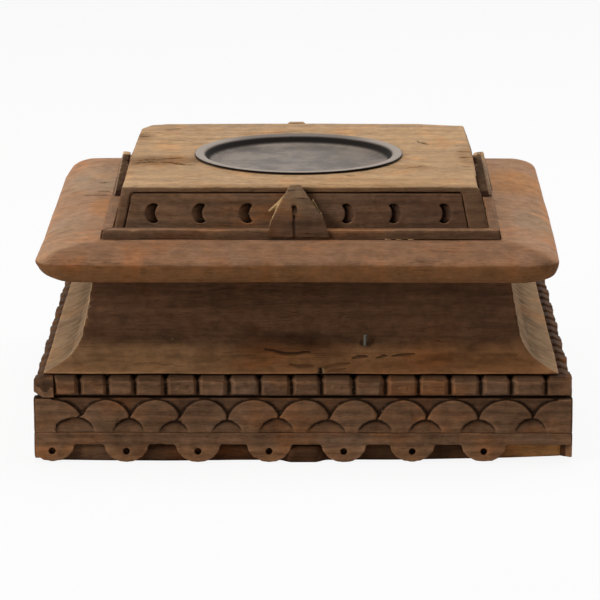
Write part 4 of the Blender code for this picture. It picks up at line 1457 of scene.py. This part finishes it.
class STAND_OT_gable_bosses(bpy.types.Operator):
    """Ages the tapering bosses with their slots"""

    bl_idname = "stand.gable_bosses"
    bl_label = "Gable bosses"

    def execute(self, context):
        tone = shade(colours().panel, 0.85)
        for number, side, node, piece in side_copies("gable_boss"):
            if side == "front":
                reshape(piece, lean_boss)
            if side == "back":
                reshape(piece, low_back_boss)
            wear_down(piece, 0.75 * sizes().strip_cell, 2)
            wander(piece, 10, 0.15, number + 91)
            grain_ripple(piece, 16, 1.5, 0.8, number, number)
            if side == "front":
                nick_edges(piece, 9, 1.6, 0.5, 92)
                split(piece, "front", [(-4.4, 105.6), (-4.3, 102.4), (-4.5, 99.4)], 0.9, 1.2, 95, 2, 0.15)
            reshape(piece, drape_boss if side == "front" else lower_boss)
            if side in ("left", "right"):
                reshape(piece, lambda places: thicken_boss(places, side))
                modify(piece, "SMOOTH", factor=0.5, iterations=6)
            mark_wear(piece)
            finish = old_wood(
                f"boss_wood_{side}", tone, end=tone, top=None if side == "front" else colours().honey,
                turn=bool(number % 2), shift=(19.0 * number, 29.0, 6.0), bare=0.3,
                extra=side_boss_tones if number % 2 else honey_tip,
            )
            finish_piece(piece, finish, "panel_wood", "stand", node)
        return {"FINISHED"}


class STAND_OT_candle_dish(bpy.types.Operator):
    """Draws the dish from rings: a rolled edge, a flat rim, a steep wall and a floor"""

    bl_idname = "stand.candle_dish"
    bl_label = "Candle dish"

    def execute(self, context):
        low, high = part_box("candle_dish")
        middle = ((low.x + high.x) / 2, (low.y + high.y) / 2)
        top = high.z
        rings = [
            (49.0, -0.9), (48.9, -0.35), (48.4, -0.05), (47.6, 0.0), (46.5, -0.1), (45.5, -0.22),
            (44.7, -0.45), (44.0, -0.95), (43.4, -1.7), (42.7, -2.7), (42.0, -3.5), (41.0, -4.15),
            (39.6, -4.5), (37.0, -4.62), (30.0, -4.55), (22.0, -4.6), (14.0, -4.58), (7.0, -4.6), (2.5, -4.6),
        ]
        deselect()
        radius, drop = rings[0]
        place = (*middle, top + drop * MM)
        bpy.ops.mesh.primitive_circle_add(
            vertices=160, radius=radius * MM, fill_type="NOTHING", location=place
        )
        piece = context.object
        piece.name = "metal_dish"
        piece.data.name = "metal_dish"
        bpy.ops.object.transform_apply(location=True, rotation=True, scale=True)
        context.tool_settings.mesh_select_mode = (True, False, False)
        bpy.ops.object.mode_set(mode="EDIT")
        bpy.ops.mesh.select_all(action="SELECT")
        for wide, fall in rings[1:]:
            bpy.ops.mesh.extrude_region_move(TRANSFORM_OT_translate={"value": (0, 0, (fall - drop) * MM)})
            ratio = wide / radius
            centre = (*middle, top + fall * MM)
            bpy.ops.transform.resize(value=(ratio, ratio, 1), center_override=centre)
            radius, drop = wide, fall
        bpy.ops.mesh.edge_face_add()
        bpy.ops.mesh.poke()
        bpy.ops.mesh.select_all(action="SELECT")
        bpy.ops.mesh.normals_make_consistent(inside=False)
        bpy.ops.object.mode_set(mode="OBJECT")
        if face_facts(piece)[1][:, 2].mean() < 0:
            bpy.ops.object.mode_set(mode="EDIT")
            bpy.ops.mesh.flip_normals()
            bpy.ops.object.mode_set(mode="OBJECT")
        modify(piece, "SOLIDIFY", thickness=0.9 * MM, offset=-1.0)
        modify(piece, "SUBSURF", levels=1, render_levels=1)
        wander(piece, 22 * MM, 0.16 * MM, 101)
        bpy.ops.object.shade_smooth()
        mark_wear(piece)
        finish_piece(piece, iron_finish(), "dish_metal", "dish", "candle_dish")
        return {"FINISHED"}


def on_slope(x, z, stand):
    """A point that stands off the block's sloped front at a height, in millimetres."""
    return (x, BLOCK_FRONT + BLOCK_LEAN * (z - BLOCK_FOOT) - stand, z)


def sliver(start, end, thick, bow, draw):
    """A thin splinter of wood: a five-sided cone cut into lengths, flattened and bowed."""
    start, end = Vector(start) * MM, Vector(end) * MM
    run = end - start
    deselect()
    bpy.ops.mesh.primitive_cone_add(
        vertices=5, radius1=0.5 * thick * MM, radius2=0.12 * thick * MM, depth=run.length, location=(0, 0, 0)
    )
    piece = bpy.context.object
    bpy.ops.object.mode_set(mode="EDIT")
    bpy.ops.mesh.select_all(action="SELECT")
    bpy.ops.mesh.subdivide(number_cuts=3)
    bpy.ops.object.mode_set(mode="OBJECT")
    places = read_places(piece)
    share = places[:, 2] / run.length + 0.5
    places[:, 0] *= 0.6
    places[:, 0] += bow * MM * np.sin(np.pi * share)
    places[:, 1] += 0.3 * bow * MM * np.sin(2.3 * np.pi * share + draw.uniform(0, 3))
    turn = np.array(run.to_track_quat("Z", "Y").to_matrix())
    middle = np.array((start + end) / 2)
    write_places(piece, places @ turn.T + middle)
    return piece


class STAND_OT_splinters(bpy.types.Operator):
    """Sets the torn splinters along the front boss"""

    bl_idname = "stand.splinters"
    bl_label = "Splinters"

    def execute(self, context):
        draw = random.Random(111)
        runs = [
            ((-8.2, 112.4, 1.3), (-15.8, 106.8, 0.6), 3.4, 0.2),
            ((-10.2, 110.8, 1.7), (-14.9, 101.8, 1.5), 2.8, 0.15),
            ((-9.0, 111.2, 1.7), (-13.0, 104.6, 1.6), 1.4, -0.15),
            ((-7.8, 114.4, 1.4), (-11.6, 110.4, 0.6), 1.5, 0.1),
            ((-13.4, 104.6, 1.0), (-15.7, 99.9, 1.2), 1.2, 0.1),
            ((3.9, 112.0, 1.0), (7.6, 106.0, 1.0), 1.1, 0.1),
            ((7.4, 106.6, 0.9), (10.4, 100.4, 1.0), 1.0, -0.1),
            ((-4.4, 105.4, 3.2), (-4.4, 99.6, 3.7), 0.8, 0.05),
        ]
        pieces = [sliver(on_slope(*start), on_slope(*end), *rest, draw) for start, end, *rest in runs]
        for x in (36.6, 41.5, 46.8):
            pieces.append(sliver((x, -90.6, 95.7), (x + 2.8, -91.0, 95.6), 0.6, 0.2, draw))
        deselect()
        for piece in pieces:
            piece.select_set(True)
        context.view_layer.objects.active = pieces[0]
        bpy.ops.object.join()
        piece = context.object
        piece.name = "torn_splinters"
        bpy.ops.object.shade_smooth()
        piece.data.materials.clear()
        piece.data.materials.append(plain_finish("torn_straw", (0.3, 0.17, 0.06), (0.58, 0.37, 0.16), 0.7))
        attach(piece, "stand")
        return {"FINISHED"}


class STAND_OT_dowels(bpy.types.Operator):
    """Gives the hidden dowels their wood"""

    bl_idname = "stand.dowels"
    bl_label = "Dowels"

    def execute(self, context):
        finish = plain_finish("dowel_wood", (0.22, 0.14, 0.08), (0.36, 0.25, 0.15), 0.7, scale=400.0)
        for name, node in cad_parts.items():
            if "dowel" in name:
                for slot in node.material_slots:
                    slot.material = finish
        return {"FINISHED"}


def background_rays(tree):
    """A mask of the rays that see the plain background: from the camera, off metal and through glass."""
    path = tree.nodes.new("ShaderNodeLightPath")
    seen = maths(tree, "MAXIMUM", path.outputs["Is Camera Ray"], path.outputs["Is Glossy Ray"])
    return maths(tree, "MAXIMUM", seen, path.outputs["Is Transmission Ray"])


def add_lamp(name, place, aim, size, power):
    """A square softbox that faces the stand."""
    light = bpy.data.lights.new(name, "AREA")
    light.size = size
    light.energy = power
    thing = bpy.data.objects.new(name, light)
    bpy.context.scene.collection.objects.link(thing)
    thing.location = place
    thing.rotation_euler = (Vector(aim) - Vector(place)).to_track_quat("-Z", "Y").to_euler()


# The camera that was fitted to the photograph
CAMERA_PLACE = (0.0084, -1.67625, 0.4394)
CAMERA_YAW, CAMERA_PITCH = math.radians(-0.36), math.radians(13.19)
CAMERA_LENS = 217.02


class STAND_OT_stage(bpy.types.Operator):
    """Sets the floor, the soft lights and the camera"""

    bl_idname = "stand.stage"
    bl_label = "Studio"

    def execute(self, context):
        scene = context.scene
        scene.view_settings.view_transform = "Standard"
        deselect()
        bpy.ops.mesh.primitive_plane_add(size=12.0, location=(0, 0, -0.0002))
        floor = context.object
        floor.name = "pale_floor"
        made, tree, shader = new_material("pale_floor")
        shader.inputs["Base Color"].default_value = (0.9, 0.9, 0.9, 1)
        shader.inputs["Roughness"].default_value = 0.9
        shader.inputs["Specular IOR Level"].default_value = 0.0
        glow = tree.nodes.new("ShaderNodeEmission")
        glow.inputs["Strength"].default_value = 1.0
        blend = tree.nodes.new("ShaderNodeMixShader")
        feed(tree, blend.inputs[0], times(tree, background_rays(tree), 0.9))
        tree.links.new(shader.outputs[0], blend.inputs[1])
        tree.links.new(glow.outputs[0], blend.inputs[2])
        tree.links.new(blend.outputs[0], tree.nodes["Material Output"].inputs["Surface"])
        floor.data.materials.append(made)

        world = bpy.data.worlds.new("studio")
        scene.world = world
        world.use_nodes = True
        tree = world.node_tree
        back = tree.nodes["Background"]
        back.inputs["Color"].default_value = (1, 1, 1, 1)
        strength = maths(tree, "MULTIPLY_ADD", background_rays(tree), 0.87, 0.13)
        feed(tree, back.inputs["Strength"], strength)

        add_lamp("overhead_softbox", (0.0, 0.25, 1.7), (0, 0, 0.08), 1.2, 17.0)
        add_lamp("left_softbox", (-1.35, -0.95, 0.75), (0, 0, 0.07), 0.7, 14.0)
        add_lamp("right_softbox", (1.4, 0.7, 0.9), (0, 0, 0.07), 0.8, 7.0)

        camera = bpy.data.objects.new("camera", bpy.data.cameras.new("camera"))
        scene.collection.objects.link(camera)
        camera.data.sensor_width = 36.0
        camera.data.lens = CAMERA_LENS
        camera.data.clip_end = 50
        camera.location = CAMERA_PLACE
        level = math.cos(CAMERA_PITCH)
        ahead = Vector((math.sin(CAMERA_YAW) * level, math.cos(CAMERA_YAW) * level, -math.sin(CAMERA_PITCH)))
        camera.rotation_euler = ahead.to_track_quat("-Z", "Y").to_euler()
        scene.camera = camera
        return {"FINISHED"}


OPERATORS = (
    STAND_OT_plinth_core,
    STAND_OT_pendant_strips,
    STAND_OT_scale_strips,
    STAND_OT_stud_strips,
    STAND_OT_cove_block,
    STAND_OT_cove_nail,
    STAND_OT_cap_slab,
    STAND_OT_collars,
    STAND_OT_top_block,
    STAND_OT_crescent_panels,
    STAND_OT_gable_bosses,
    STAND_OT_candle_dish,
    STAND_OT_splinters,
    STAND_OT_dowels,
    STAND_OT_stage,
)


class STAND_PT_panel(bpy.types.Panel):
    """Lists the pieces of the stand"""

    bl_idname = "STAND_PT_panel"
    bl_label = "Candle stand"
    bl_space_type = "VIEW_3D"
    bl_region_type = "UI"
    bl_category = "Stand"

    def draw(self, context):
        layout = self.layout
        for group in (context.scene.stand_sizes, context.scene.stand_colours):
            for key in group.__annotations__:
                layout.prop(group, key)
        for operator in OPERATORS:
            layout.operator(operator.bl_idname)


CLASSES = (StandSizes, StandColours, *OPERATORS, STAND_PT_panel)


def register():
    for made in CLASSES:
        bpy.utils.register_class(made)
    bpy.types.Scene.stand_sizes = bpy.props.PointerProperty(type=StandSizes)
    bpy.types.Scene.stand_colours = bpy.props.PointerProperty(type=StandColours)


def unregister():
    del bpy.types.Scene.stand_colours
    del bpy.types.Scene.stand_sizes
    for made in reversed(CLASSES):
        bpy.utils.unregister_class(made)


def main():
    register()
    for operator in OPERATORS:
        group, name = operator.bl_idname.split(".")
        getattr(getattr(bpy.ops, group), name)()


if __name__ == "__main__":
    main()
